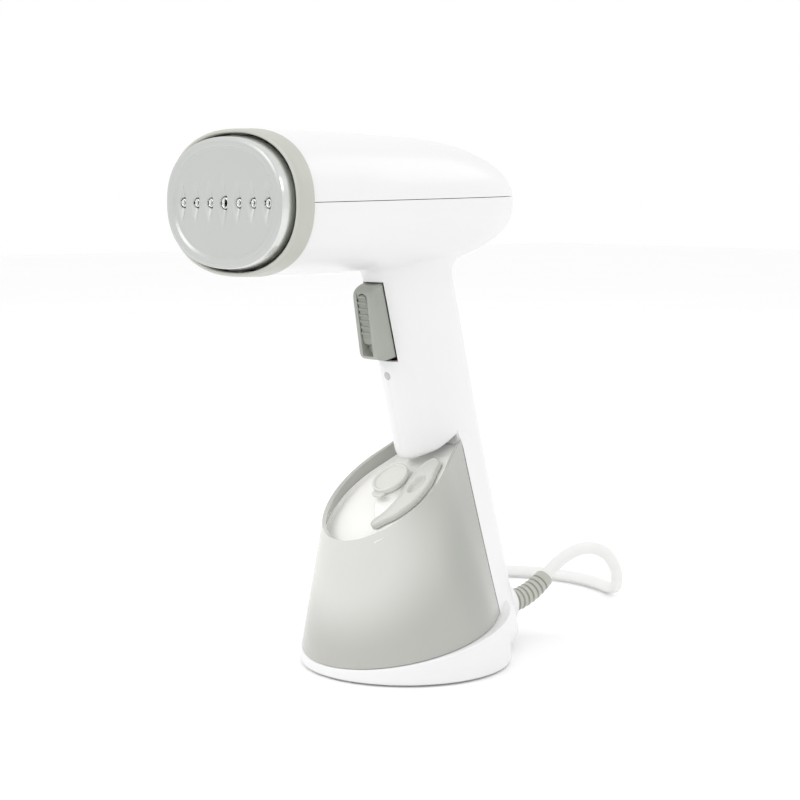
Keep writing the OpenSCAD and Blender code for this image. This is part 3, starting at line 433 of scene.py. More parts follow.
def plug_skin():
    """Plug: superellipse sections along X, from the tail sleeve with three rings to the grip and the face."""
    x = np.array([-110, -110, -109.2, -107, -106.6, -105.2, -104.8, -103, -102.6, -101.2, -100.8, -99, -97, -95, -92,
                  -88, -83, -78, -72, -67, -64.4, -63.3, -63, -63])
    y = np.array([0, 3.9, 4.3, 4.4, 3.9, 3.9, 4.5, 4.6, 4.0, 4.0, 4.8, 5.2, 6.6, 8.2, 9.8, 11.2, 12.2, 12.5, 12.5, 12.3,
                  12.2, 11.9, 11.2, 0])
    z = np.array([0, 3.9, 4.3, 4.4, 3.9, 3.9, 4.5, 4.6, 4.0, 4.0, 4.6, 4.7, 5.2, 6.0, 6.9, 7.7, 8.2, 8.4, 8.5, 8.4, 8.3,
                  8.0, 7.4, 0])
    power = np.interp(x, [-100, -90], [2.0, 3.2])[:, None]
    a = rod(0, 2 * PI, 65)[:-1][None]
    py, pz = superoval(2 * y[:, None], 2 * z[:, None], power, a)
    return sheet(stack(x[:, None] + 0 * a, PLUG_Y + py, PLUG_Z + pz), (-82, PLUG_Y, PLUG_Z), wrap=True)


plug = skin("plug_cover", [plug_skin()], "body", "plug_white", "plug_body", closed=True)


def tie_skin():
    """Tie: a rounded rectangle round the coil's section, drawn along X over the width of the tape."""
    loop = rounded([[106.4, 0.1], [129.1, 0.1], [129.1, 22.3], [106.4, 22.3]], 4.5, 8)
    x = rod(-104.4, -95.6, 7)[:, None]
    return sheet(stack(x + 0 * loop[None, :, 0], loop[None, :, 0] + 0 * x, loop[None, :, 1] + 0 * x), (-100, 117.7, 11),
                 wrap=True)


tie = skin("coil_tape", [tie_skin()], "body", "tie_black", "coil_tie", wall=0.9, bevel=0.25)


# ---------------------------------------------------------------- body surfaces
def grip_y(z):
    """Middle of the leaning handle at height z."""
    return 4 + GRIP_LEAN * (188 - z)


def column_scale(z):
    """Growth of the column's section below the tank's rim."""
    return 1 + 0.107 * np.maximum(0, RIM_TOP - z) / (GRIP_W / 2)


def half_width(y, z, inset=0.0):
    """Half width at depth y and height z of the hull of the round tank front and the column, both drawn
    in by inset: the front circle, then the straight flank along their shared tangent, then the column's
    ellipse. The tangent's direction is where both shapes reach equally far, found by halving."""
    k = column_scale(z)
    a, b = GRIP_W / 2 * k - inset, GRIP_D / 2 * k - inset
    mid = grip_y(z) + GRIP_D / 2 * (1 - k)
    r, bow = TANK_R - TANK_TAPER * z - inset, TANK_BOW * z
    low, high = np.full(np.shape(z), -PI / 2), np.full(np.shape(z), PI / 2)
    for _ in range(40):
        t = (low + high) / 2
        circle = bow * np.sin(t) + r
        oval = mid * np.sin(t) + np.sqrt((a * np.cos(t)) ** 2 + (b * np.sin(t)) ** 2)
        low, high = np.where(circle > oval, t, low), np.where(circle > oval, high, t)
    reach = np.sqrt((a * np.cos(t)) ** 2 + (b * np.sin(t)) ** 2)
    x1, y1 = r * np.cos(t), bow + r * np.sin(t)
    x2, y2 = a * a * np.cos(t) / reach, mid + b * b * np.sin(t) / reach
    front = np.sqrt(np.maximum(0, r * r - (y - bow) ** 2))
    flank = x1 + (x2 - x1) * np.clip((y - y1) / np.maximum(y2 - y1, 1e-6), 0, 1)
    back = a * np.sqrt(np.maximum(0, 1 - ((y - mid) / b) ** 2))
    return np.where(y < y1, front, np.where(y < y2, flank, back))


def spine_y(z):
    """Front plane of the spine, behind the tank."""
    return 19.3 + 0.1615 * (RIM_TOP - z)


def back_y(z):
    """Back edge of the column."""
    return grip_y(z) + GRIP_D / 2


HEAD_KNOTS = np.array([[0, 1, 1], [0.24, 0.955, 0.995], [0.42, 0.88, 0.975], [0.61, 0.78, 0.94], [0.73, 0.69, 0.87],
                       [0.82, 0.6, 0.76], [0.91, 0.46, 0.6], [0.965, 0.33, 0.44], [1, 0, 0]])


def head_halves(s):
    """Half width and half height of the head at share s of its length: the squares of the knots are
    joined by a monotone curve, so the root closes in a round back."""
    return (HEAD_W / 2 * np.sqrt(np.maximum(0, flow(s, HEAD_KNOTS[:, 0], HEAD_KNOTS[:, 1] ** 2))),
            HEAD_H / 2 * np.sqrt(np.maximum(0, flow(s, HEAD_KNOTS[:, 0], HEAD_KNOTS[:, 2] ** 2))))


def parting(y):
    """Height of the parting plane above the head's axis."""
    return 0.4 + math.tan(math.radians(1.06)) * (y - HEAD_FRONT)


def head_point(s, turn):
    """Point on the head at share s and turn round the superellipse section."""
    a, b = head_halves(s)
    x, z = superoval(2 * a, 2 * b, HEAD_N, turn)
    return stack(x, HEAD_FRONT + s * (HEAD_BACK - HEAD_FRONT) + 0 * turn, HEAD_Z + z)


def parting_turn(s, gap):
    """Turn at which the section at s crosses the parting plane moved by gap."""
    y = HEAD_FRONT + s * (HEAD_BACK - HEAD_FRONT)
    b = np.maximum(head_halves(s)[1], 1e-6)
    return np.arcsin(np.clip((parting(y) + gap) / b, 0, 1) ** (HEAD_N / 2))


def cover_skin():
    """Top cover: head points from the parting line over the top to the other side, as far back as the
    section still rises above the parting plane."""
    s = 1 - (1 - rod(0, 1, 220)) ** 1.8
    over = parting_turn(s, 0.16) < PI / 2 - 1e-6
    s = s[over][:, None]
    low = parting_turn(s, 0.16)
    return sheet(head_point(s, low + (PI - 2 * low) * rod(0, 1, 97)[None]), (0, -20, HEAD_Z))


skin("top_cover", [cover_skin()], "body", "white_cover", "head_top_cover", wall=2.3, bevel=0.35)


def under_head():
    """Right half of the head below the parting plane, down to the middle of its underside."""
    s = 1 - (1 - rod(0, 1, 220)[:, None]) ** 1.8
    top = parting_turn(s, -0.16)
    grid = head_point(s, top + (-PI / 2 - top) * rod(0, 1, 61)[None])
    return sheet(grid, (0, -20, HEAD_Z))


def underside(x, y):
    """Height of the head's underside over the point x, y."""
    a, b = head_halves(np.clip((y - HEAD_FRONT) / (HEAD_BACK - HEAD_FRONT), 0, 1))
    return HEAD_Z - b * np.maximum(0, 1 - (np.abs(x) / np.maximum(a, 1e-6)) ** HEAD_N) ** (1 / HEAD_N)


# Turns round the handle's ellipse at the trigger window's side and at the spine's front edge, and the height
# of the plane that cuts the handle's lower end
WINDOW = math.acos(8.1 / (GRIP_W / 2))
CREASE = -0.075
CUT = 103.3
# Heights between which the handle is a plain shaft
SHAFT_LOW, SHAFT_TOP = 131, 199.4


def grip_columns():
    """Turns round the handle's ellipse, front to back, with one on the window's edge and one on the spine."""
    return np.concatenate([rod(-PI / 2, -WINDOW, 9)[:-1], rod(-WINDOW, CREASE, 22)[:-1], rod(CREASE, PI / 2, 36)])


def grip_point(turn, z):
    """Point on the handle's leaning ellipse at height z."""
    return stack(GRIP_W / 2 * np.cos(turn), grip_y(z) + GRIP_D / 2 * np.sin(turn), z + 0 * turn)


def handle_skins():
    """Right half of the handle. The shaft is ellipse sections; at the top each column bends through a
    quadratic curve onto the head's underside; at the bottom the front columns round into the slanted
    end, and the others run down into the spine."""
    t = grip_columns()[None]
    window = [158.3, 198.9]
    levels = np.concatenate([rod(SHAFT_LOW, window[0], 10), rod(window[0], window[1], 12)[1:], [SHAFT_TOP]])[:, None]
    shaft = grip_point(t, levels)
    open_rows = (levels[:-1, 0] >= window[0] - 1e-6) & (levels[1:, 0] <= window[1] + 1e-6)
    keep = ~(open_rows[:, None] & (t[0, 1:] <= -WINDOW + 1e-6)[None])
    sheets = [sheet(shaft, (0, 10, 165), keep=keep)]
    radius = 3.2 + 5.3 * ease((t + PI / 2) / 1.6)
    meet = np.full(t.shape, 207.0)
    for _ in range(20):
        p = grip_point(t, meet)
        meet = underside(p[..., 0], p[..., 1])
    corner = grip_point(t, meet)
    start = grip_point(t, np.maximum(meet - radius, SHAFT_TOP))
    nx, ny = np.cos(t) * GRIP_D, np.sin(t) * GRIP_W
    scale = radius / np.hypot(nx, ny)
    ex, ey = corner[..., 0] + nx * scale, corner[..., 1] + ny * scale
    end = stack(ex, ey, underside(ex, ey))
    q = rod(0, 1, 12)[:, None, None]
    bend = (1 - q) ** 2 * start + 2 * q * (1 - q) * corner + q * q * end
    bend = np.concatenate([grip_point(t, np.full(t.shape, SHAFT_TOP)), bend, end + [0, 0, 1.5]])
    sheets.append(sheet(bend, (0, 5, 202)))
    front, rear = t[:, :30], t[:, 29:]
    cut = np.full(front.shape, 115.0)
    for _ in range(20):
        cut = CUT + DECK_SLOPE * (grip_point(front, cut)[..., 1] + 4)
    edge = grip_point(front, cut)
    middle = np.array([0, 17.6, CUT + DECK_SLOPE * 21.6])
    inward = middle - edge
    inward /= np.maximum(np.linalg.norm(inward, axis=-1, keepdims=True), 1e-6)
    side = ease((edge[..., 1:2] - 1.0) / 9.0)
    roll = np.minimum(4.2 - 3.2 * side, 0.8 * np.linalg.norm(middle - edge, axis=-1, keepdims=True))
    turn_up = 4.6 - 3.7 * side[..., 0]
    above = grip_point(front, cut + turn_up)
    q = rod(0, 1, 10)[:, None, None]
    lip = (1 - q) ** 2 * (edge + inward * roll) + 2 * q * (1 - q) * edge + q * q * above
    floor = middle + (edge + inward * roll - middle) * rod(0.02, 0.98, 8)[:, None, None]
    rise = grip_point(front, cut + turn_up + (SHAFT_LOW - cut - turn_up) * rod(0, 1, 8)[1:, None])
    sheets.append(sheet(np.concatenate([floor, lip, rise]), (0, 10, 128)))
    sheets.append(sheet(grip_point(rear, rod(112, SHAFT_LOW, 8)[:, None]), (0, 10, 125)))
    return sheets


def spine_skin():
    """Right half of the spine: front wall, then the flank and back of the hull section, which eases into
    the handle's ellipse above the tank's rim; the foot end is rounded by shrinking the last sections."""
    z0, soft = 5.0, 6.0
    a = rod(0, PI / 2, 7)
    z = np.concatenate([[z0, z0], z0 + soft * (1 - np.cos(a[1:])), rod(z0 + soft, 111, 30)[1:], rod(111, 129, 14)[1:]])
    shrink = np.concatenate([[1.0], [soft], soft * (1 - np.sin(a[1:])), np.zeros(len(z) - 8)])[:, None]
    z = z[:, None]
    ys, yb = spine_y(z) + 0.1, back_y(z)
    u = rod(0, 1, 40)[None]
    y = yb - (yb - ys) * (1 - u) ** 2
    wide = half_width(y, z)
    slim = GRIP_W / 2 * np.sqrt(np.maximum(0, 1 - ((y - grip_y(z)) / (GRIP_D / 2)) ** 2))
    x = wide + (np.minimum(slim - 0.25, wide) - wide) * ease((z - 112) / 13)
    x = np.maximum(x, 0)
    x[:, -1] = 0
    wall = rod(0, 1, 8)[None, :-1] * x[:, :1]
    x, y = np.concatenate([wall, x], 1), np.concatenate([ys + 0 * wall, y], 1)
    mid, half = (ys + yb) / 2, (yb - ys) / 2
    k = 1 - shrink / half
    k[0] = 0
    return sheet(stack(x * k, mid + (y - mid) * k, z), (0, 50, 60))


def boss_skin():
    """Right half of the lead's outlet: a cone turned about its axis, rounded to a flat face with a bore."""
    profile = [[13.7, 44], [13.1, 53], [12.1, 63], [11.4, 69], [11.0, 70.8], [10.2, 71.7], [9.2, 72.0], [7.4, 72.0],
               [6.9, 71.7], [6.8, 68.0]]
    return sheet(turned(profile, 33, (0, 0, BOSS_Z), "y", -PI / 2, PI), (0, 50, BOSS_Z))


def mirrored(sheets):
    """The same sheets on the other side of the middle plane, faces turned back outwards."""
    return [(v * [-1, 1, 1], q[:, ::-1]) for v, q in sheets]


# Half the gap between the two halves of the shell
SEAM = 0.04
right_half = [under_head()] + handle_skins() + [spine_skin(), boss_skin()]
right_half = [(v + [SEAM, 0, 0], q) for v, q in right_half]
for side, sheets in (("right", right_half), ("left", mirrored(right_half))):
    skin("cover_" + side, sheets, "body", "white_cover", "body_shell_" + side, wall=2.2, bevel=0.3)


# ---------------------------------------------------------------- foot
def foot_skin():
    """Foot: rows of the profile from the middle of the base, round the edge and up to the sloping top."""
    a = rod(0, 2 * PI, 129)[:-1][None]

    def top(r):
        return FOOT_LOW + FOOT_SLOPE * (r * np.sin(a) + FOOT_R)

    rows = [stack(0 * a, 0 * a, 1.0 + 0 * a), stack(53 * np.cos(a), 53 * np.sin(a), 1.0 + 0 * a)]
    for q in rod(0, PI / 2, 6):
        r = 53.8 + 1.2 * np.sin(q)
        rows.append(stack(r * np.cos(a), r * np.sin(a), 2.2 - 1.2 * np.cos(q) + 0 * a))
    rows.append(stack(FOOT_R * np.cos(a), FOOT_R * np.sin(a), (2.2 + top(FOOT_R) - 0.9) / 2))
    for q in rod(0, PI / 2, 6):
        r = 54.2 + 0.8 * np.cos(q)
        rows.append(stack(r * np.cos(a), r * np.sin(a), top(r) - 0.8 + 0.8 * np.sin(q)))
    rows += [stack(r * np.cos(a), r * np.sin(a), top(r)) for r in (50, 30, 0)]
    return sheet(np.concatenate(rows), (0, 0, 6), wrap=True)


skin("foot_cover", [foot_skin()], "body", "foot_white", "base_foot", closed=True)


# ---------------------------------------------------------------- bezel and soleplate
def bezel_skin():
    """Bezel: a rounded section carried round the superellipse; each row is one width, height and depth."""
    a = rod(0, 2 * PI, 161)[:-1][None]
    rows = [(103.2, 67.2, -98.1), (107.0, 70.4, -98.1), (107.4, 70.4, -98.6), (108.2, 70.2, -101), (109.2, 70.0, -104),
            (109.8, 69.9, -106), (109.6, 69.6, -107.0), (108.8, 69.0, -107.7), (107.6, 68.0, -108), (105.8, 66.8, -108),
            (104.6, 66.0, -107.6), (104.0, 65.8, -106.8), (103.6, 65.9, -103), (103.2, 67.2, -98.1)]
    grid = []
    for w, h, y in rows:
        x, z = superoval(w, h - 0.2, HEAD_N, a)
        grid.append(stack(x, y + 0 * a, HEAD_Z + z))
    return sheet(np.concatenate(grid), (0, -103, HEAD_Z), wrap=True)


skin("bezel_trim", [bezel_skin()], "body", "bezel_grey", "bezel_ring", closed=True)

HOLE_PITCH, HOLE_R, MIDDLE_R = 11.8, 1.8, 2.5
HOLES = [((i - 3) * HOLE_PITCH, MIDDLE_R if i == 3 else HOLE_R) for i in range(7)]
PLATE_W, PLATE_H = 96.8, 61.2


def face_depth(x, z, share):
    """How far the plate's face lies behind its front plane: the rim band rolls off, a step drops to the
    flat panel, and each hole sits in a dimple with a long teardrop hollow above and below."""
    depth = 0.55 * ease((share - 0.93) / 0.07) ** 2
    depth = depth + 0.8 * ease((0.88 - share) / 0.045) - 0.12 * np.exp(-((share - 0.895) / 0.014) ** 2)
    for hx, r in HOLES:
        dx, dz = x - hx, z
        length = 15.0 if r > 2 else 11.0
        taper = np.clip(1 - np.abs(dz) / length, 0, 1)
        wide = 0.8 + (1.8 + 0.6 * r) * taper ** 0.8
        groove = np.exp(-(dx / wide) ** 2 * 1.6) * taper ** 1.2 * 1.5
        d = np.hypot(dx, dz)
        depth = depth + 1.5 * groove + 1.6 * ease((r + 0.9 - d) / 0.5)
    return depth


def plate_skins():
    """Soleplate: the face is rings of shrinking superellipses with the depth pattern, the flank widens
    towards the bezel, and both close at the back."""
    a = rod(0, 2 * PI, 481)[:-1][None]
    share = np.concatenate([rod(0, 0.84, 100), rod(0.845, 0.9, 16), rod(0.905, 1, 20)])[:, None]
    x, z = superoval(PLATE_W, PLATE_H, HEAD_N, a)
    x, z = x * share, z * share
    face = stack(x, -113 + face_depth(x, z, share), HEAD_Z + z)
    d = np.min([np.hypot(x - hx, z) - (r + 0.5) for hx, r in HOLES], 0)
    keep = (d[:-1] > 0) & (np.roll(d, -1, 1)[:-1] > 0) & (d[1:] > 0)
    flank = []
    for w, h, y in ((PLATE_W, PLATE_H, -112.45), (97.3, 61.7, -112.0), (97.7, 62.1, -111.2), (98.6, 63, -109),
                    (99.2, 63.6, -107), (99.2, 63.6, -103.2), (92, 57, -103.2)):
        fx, fz = superoval(w, h, HEAD_N, a)
        flank.append(stack(fx, y + 0 * a, HEAD_Z + fz))
    return (sheet(face, (0, -80, HEAD_Z), wrap=True, keep=keep),
            sheet(np.concatenate(flank), (0, -108, HEAD_Z), wrap=True))


plate_face, plate_flank = plate_skins()
skin("plate_face", [plate_face], "body", "sole_silver", "soleplate")
skin("plate_edge", [plate_flank], "body", "nozzle_silver")


def eyelets():
    """Steam eyelets: a rolled rim turned about each hole, with a bore tapering to a small steam hole."""
    made = []
    for x, r in HOLES:
        bore = 0.66 * r if r > 2 else 0.5 * r
        profile = [[r + 0.22, -109.6], [r + 0.22, -110.7], [r + 0.1, -111.0], [r - 0.2, -111.1], [r - 0.45, -110.9],
                   [bore + 0.12, -110.2], [bore, -109.9], [bore, -107.6], [r + 0.22, -107.6], [r + 0.22, -109.6]]
        made.append(sheet(turned(profile, 36, (x, 0, HEAD_Z), "y"), (x, -110.5, HEAD_Z), wrap=True))
    return made


skin("eyelet_rims", eyelets(), "body", "nozzle_silver", "steam_nozzles", closed=True)


# ---------------------------------------------------------------- trigger, slider and lens
TRIGGER_MID = 179.0
TRIGGER_AT = (0, grip_y(TRIGGER_MID) - GRIP_D / 2, TRIGGER_MID)


def drawn(outline, half, soft, recess):
    """Solid between x = -half and half: the outline in the y-z plane, shrunk towards its middle near
    both ends to round the edges by soft. The recess adds columns and presses their points in."""
    q = rod(0, PI / 2, 9)
    side = half - soft + soft * np.sin(q)
    inset = soft * (1 - np.cos(q))
    inner = list(recess.columns)
    x = np.concatenate([-side[::-1], [-v for v in inner], inner[::-1], side])
    inset = np.concatenate([inset[::-1], np.zeros(2 * len(inner)), inset])
    mid = (outline.max(0) + outline.min(0)) / 2
    size = (outline.max(0) - outline.min(0)) / 2
    rows = []
    for xi, shrink in zip(x, inset):
        p = mid + (outline - mid) * (1 - shrink / size)
        p = recess.press(p, abs(xi))
        rows.append(stack(np.full(len(p), xi), p[:, 0], p[:, 1]))
    cap = np.tile([0, mid[0], mid[1]], (len(outline), 1)).astype(float)
    rows = [cap + [x[0], 0, 0]] + rows + [cap + [x[-1], 0, 0]]
    return np.stack(rows)


def round_end(x, radius):
    """How far a round end of this radius falls back at x from its middle."""
    return radius - np.sqrt(np.maximum(0, radius ** 2 - x ** 2))


class Slot:
    """The slider's slot with half-round ends: in each column the four marks at its ends slide in by the
    round, and points of the front face between them move back by its depth."""
    width, reach, depth = 4.1, 16.0, 4.2
    columns = (4.12, 4.08, 3.9, 3.5, 2.9, 2.1, 1.1)

    def press(self, p, x):
        if x > self.width:
            return p
        fall = round_end(x, self.width)
        mark = (np.abs(np.abs(p[:, 1]) - self.reach) < 0.03) & (p[:, 0] < 1.0)
        z = np.where(mark, p[:, 1] - np.sign(p[:, 1]) * fall, p[:, 1])
        z = np.where(~mark & (np.abs(z) < self.reach) & (np.abs(z) > self.reach - fall - 0.03) & (p[:, 0] < 1.0),
                     np.sign(z) * (self.reach - fall - 0.03), z)
        inside = (p[:, 0] < 1.0) & (np.abs(z) < self.reach - fall)
        return np.stack([p[:, 0] + np.where(inside, self.depth, 0), z], 1)


class Knob:
    """The slider's half-round ends: the ends of each column fall back from the full length."""
    columns = (3.3, 3.0, 2.6, 2.1, 1.5, 0.8)

    def press(self, p, x):
        fall = round_end(min(x, 3.69), 3.7) * 0.8
        return np.stack([p[:, 0], np.clip(p[:, 1], -10.6 + fall, 15.5 - fall)], 1)


def trigger_outline():
    """Side view of the trigger: a face that stands prouder at its foot, with soft corners."""
    shape = rounded([[-9.6, -17.2], [-4.6, -19.5], [3, -19.5], [3, 19.4], [-1.2, 19.4], [-6.5, 17.0]],
                    [3.0, 2.4, 0.6, 0.6, 2.6, 3.4], 8)
    dense = []
    for p, q in zip(shape, np.roll(shape, -1, 0)):
        dense.append(p + (q - p) * rod(0, 1, 7)[:-1, None])
    dense = np.concatenate(dense)
    for level in (-16.02, -15.98, 15.98, 16.02):
        front = np.where(dense[:, 0] < 0)[0]
        k = front[np.argmin(np.abs(dense[front, 1] - level))]
        dense[k, 1] = level
    return dense


trigger_grid = tilted(drawn(trigger_outline(), 7.5, 1.5, Slot()), TRIGGER_AT, LEAN)
skin("trigger_cover", [sheet(trigger_grid, (0, grip_y(TRIGGER_MID) - 27, TRIGGER_MID), wrap=True)], "trigger",
     "trigger_grey", "trigger", closed=True, bevel=0.25, angle=60)


def slider_outline():
    """Side view of the slider: a flat face with seven ribs on its upper part and a soft foot."""
    z = rod(-10.6, 15.5, 160)
    ribs = 0.55 * np.clip(1.6 * np.sin((z - 15.0) * 2 * PI / 3.1 + PI), -0.2, 1)
    ribs = ribs * ease((z + 7.2) / 0.6) * ease((15.0 - z) / 0.4)
    face = -7.15 + 0.074 * z - ribs - 0.25 * ease((z + 9.5) / 3)
    edge = 0.8 * (np.clip((np.abs(z - 2.45) - 12.2) / 0.85, 0, 1)) ** 2
    front = np.stack([face + edge, z], 1)
    back = np.stack([np.full(12, -4.0), rod(15.5, -10.6, 12)], 1)
    return np.concatenate([front, back])


slider_grid = tilted(drawn(slider_outline(), 3.7, 0.35, Knob()), TRIGGER_AT, LEAN)
SLIDER_Z = 181.0
skin("slider_knob", [sheet(slider_grid, (0, grip_y(SLIDER_Z) - 30, SLIDER_Z), wrap=True)], "slider", "slider_grey",
     "lock_slider", closed=True)

LENS_Z = 150.5
lens_rows = [[0, 0.35], [1.2, 0.3], [2.0, 0.12], [2.4, -0.2], [2.45, -0.6], [2.45, -3.0], [0, -3.0]]
lens_grid = turned(lens_rows, 40, (0, 0, 0), "z")
lens_y = grip_y(LENS_Z) - GRIP_D / 2
lens_grid = tilted(lens_grid, (0, lens_y, LENS_Z), PI / 2 + LEAN)
skin("lens_dome", [sheet(lens_grid, (0, lens_y + 1, LENS_Z), wrap=True)], "body", "lens_clear", "indicator_lens",
     closed=True)


# ---------------------------------------------------------------- tank
def tank_front(z):
    """Front line of the tank in the middle plane: its middle less its radius."""
    return -TANK_R + (TANK_TAPER + TANK_BOW) * z


def tank_floor(y):
    """Plane of the tank's underside, a small gap above the foot's top."""
    return TANK_LOW + FOOT_SLOPE * (y + FOOT_R)


def tank_side(w, high):
    """Right-hand outer point of the tank at share w from front to back and share high from its floor
    plane to its rim plane, found by repeated substitution."""
    z = np.full(np.shape(w), 60.0)
    for _ in range(40):
        front, back = tank_front(z), spine_y(z) - 0.7
        y = front + (back - front) * w ** 2
        z = tank_floor(y) * (1 - high) + (DECK_Z + DECK_SLOPE * (y - DECK_Y)) * high
    return np.maximum(half_width(y, z), 0), y, z


def tank_loop(high):
    """One level of the tank as a closed loop: right side front to back, the back wall, left side. The back
    wall's top is cut down between its two ends."""
    x, y, z = tank_side(rod(0, 1, 60), high)
    across = rod(1, -1, 26)[1:-1]
    bx, by, bz = x[-1] * across, np.full(24, y[-1]), np.full(24, z[-1])
    if high > 0.9:
        bz = bz - 10.2 * (high - 0.9) / 0.1 * ease((20.4 - np.abs(bx)) / 0.6)
    return np.concatenate([stack(x, y, z), stack(bx, by, bz), stack(-x[::-1], y[::-1], z[::-1])[:-1]])


def tank_skin():
    """Tank: a cup from the middle of its sloping floor, round the bottom edge and up to the rim."""
    levels = [tank_loop(v) for v in np.concatenate([rod(0, 0.03, 3), rod(0.06, 0.9, 24), rod(0.92, 1, 5)])]
    edge = levels[0]
    middle = np.array([0, -8.0, tank_floor(-8.0)])
    floor = [middle + (edge - middle) * k for k in (0.0, 0.35, 0.7, 0.93, 0.985)]
    return sheet(np.stack(floor + levels), (0, -8, 50), wrap=True)


skin("tank_wall", [tank_skin()], "tank", "tank_smoke", "tank_shell", wall=2.1, bevel=0.55, angle=48)

CAP_AT, LATCH_AT = (0.5, -9.8), (17.0, -7.5)
LIFT, CAP_SEAT, LATCH_SEAT = -9.4 * math.cos(DECK), 7.1, 4.9
LATCH_RUN = [-34.2, -33.5, -31.5, -24, -13, 0, 12, 15.5, 17.4]
LATCH_LINE = [-2.0, -2.0, -1.7, 2.6, 4.6, 2.5, 0, 0, 0]
LATCH_HALF = [0.0, 1.6, 2.9, 4.7, 6.6, 8.1, 5.6, 4.0, 0]


def deck_point(x, run, lift):
    """Point lift above the deck's own plane, x across and run up the slope from the front of the rim."""
    return stack(x, DECK_Y + run * math.cos(DECK) - lift * math.sin(DECK),
                 DECK_Z + run * math.sin(DECK) + lift * math.cos(DECK))


def run_of(y):
    """Distance up the rim plane's slope at depth y."""
    return (y - DECK_Y) / math.cos(DECK)


def latch_middle(run):
    """Middle line and half width of the release plate at run, relative to its hole, up the slope."""
    return flow(run, LATCH_RUN, LATCH_LINE), flow(run, LATCH_RUN, LATCH_HALF)


def deck_skin():
    """Deck: points across the tank inside its wall, pressed down below the rim; it curls up at the wall,
    swells under the cap, and a platform with a slanted front wall carries the cap and release plate."""
    back, front = run_of(17.6), run_of(-43.4) + LIFT * math.tan(DECK)
    run = front + (back - front) * rod(0, 1, 120)[:, None] ** 1.6
    across = rod(-1, 1, 111)[None]
    flat = deck_point(0, run, LIFT)
    y, z = flat[..., 1], flat[..., 2]
    wide = half_width(y, z, 2.6)
    x = wide * np.sin(across * PI / 2)
    near = half_width(y, z, 1.0) - np.abs(x)
    fore = y - (tank_front(z) + 1.0)
    curl = np.clip(1 - (np.minimum(near, fore) - 1.5) / 3.0, 0, 1) ** 2 * 1.2
    cap = ease((11.2 - np.hypot(x - CAP_AT[0], run - run_of(CAP_AT[1]))) / 1.8) * (CAP_SEAT - 0.7)
    brink = flow(run, [0, 12, 24, 36, 47, 56, 90], [24, 16, 2.0, -8.0, -12.0, -8.0, -6.0])
    step = ease((x - brink) / 1.3) * (LATCH_SEAT - 0.4)
    swell = np.maximum(cap, step)
    return sheet(deck_point(x, run, LIFT + np.maximum(curl, swell)), (0, -10, -200))


skin("tank_dish", [deck_skin()], "tank", "deck_smoke", "tank_deck", wall=1.6)


def on_deck(points, at, lift):
    """Moves points from a deck-flat drawing (x, up the slope, above it) to their place on the deck."""
    return deck_point(points[..., 0] + at[0], points[..., 1] + run_of(at[1]), points[..., 2] + lift)


def cap_skins():
    """Filler cap: a turned disc with a raised, rolled rim and a shallow dish, its plug below, and a small
    pull tab at the front whose outline is a rounded rectangle."""
    profile = [[0, 2.3], [4, 2.3], [7.6, 2.35], [8.4, 2.5], [8.75, 3.0], [8.95, 3.4], [9.4, 3.6], [9.95, 3.5],
               [10.3, 3.1], [10.4, 2.5], [10.35, 1.0], [10.0, 0.4], [9.4, 0.1], [5.8, 0.1], [5.8, -4.4], [0, -4.4]]
    disc = on_deck(turned(profile, 72, (0, 0, 0)), CAP_AT, LIFT + CAP_SEAT)
    tab = rounded([[-3.8, -13.0], [3.8, -13.0], [4.4, -8.6], [-4.4, -8.6]], [2.2, 2.2, 0.5, 0.5], 8)
    mid = np.array([0, -10.8])
    rows = []
    for k, h in ((0.0, 0.2), (0.8, 0.2), (0.95, 0.4), (1.0, 0.8), (1.0, 1.4), (0.95, 1.8), (0.82, 2.0), (0.6, 1.8),
                 (0.0, 1.7)):
        p = mid + (tab - mid) * k
        rows.append(stack(p[:, 0], p[:, 1], np.full(len(p), h)))
    tongue = on_deck(np.stack(rows), CAP_AT, LIFT + CAP_SEAT)
    centre = on_deck(np.array([0, 0, 1.0]), CAP_AT, LIFT + CAP_SEAT)
    tip = on_deck(np.array([0, -10.8, 1.0]), CAP_AT, LIFT + CAP_SEAT)
    return [sheet(disc, centre, wrap=True), sheet(tongue, tip, wrap=True)]


skin("cap_disc", cap_skins(), "cap", "cap_grey", "filler_cap", closed=True)


def latch_skin():
    """Release plate: across its width the height rises over a rolled edge to a lip and drops to a panel;
    an oval finger hollow is pressed in at the widest place; the underside closes it."""
    run = -34.2 + 51.6 * (0.5 - 0.5 * np.cos(rod(0, PI, 90)))[:, None]
    line, taper = latch_middle(run)
    q = rod(-1, 1, 49)[None]
    x = line + taper * np.sin(q * PI / 2)
    edge = taper * (1 - np.abs(np.sin(q * PI / 2)))
    lip = np.minimum(edge / 0.7, 1.0) ** 0.5 * 2.2
    height = 1.1 + lip - 0.75 * ease((edge - 0.9) / 0.6)
    hollow = ease((1.0 - np.hypot((x - 1.6) / 3.9, (run + 1.5) / 6.6)) / 0.14)
    height = height - 2.15 * hollow * (edge > 0.5)
    top = stack(x, run + 0 * q, height)
    bottom = stack(x, run + 0 * q, 0.1 + 0 * x)
    ring = np.concatenate([top, bottom[:, ::-1]], 1)
    seat = LATCH_AT, LIFT + LATCH_SEAT
    return sheet(on_deck(ring, *seat), on_deck(np.array([0, 0, 0.8]), *seat), wrap=True)


skin("latch_plate", [latch_skin()], "latch", "latch_grey", "tank_latch", closed=True)


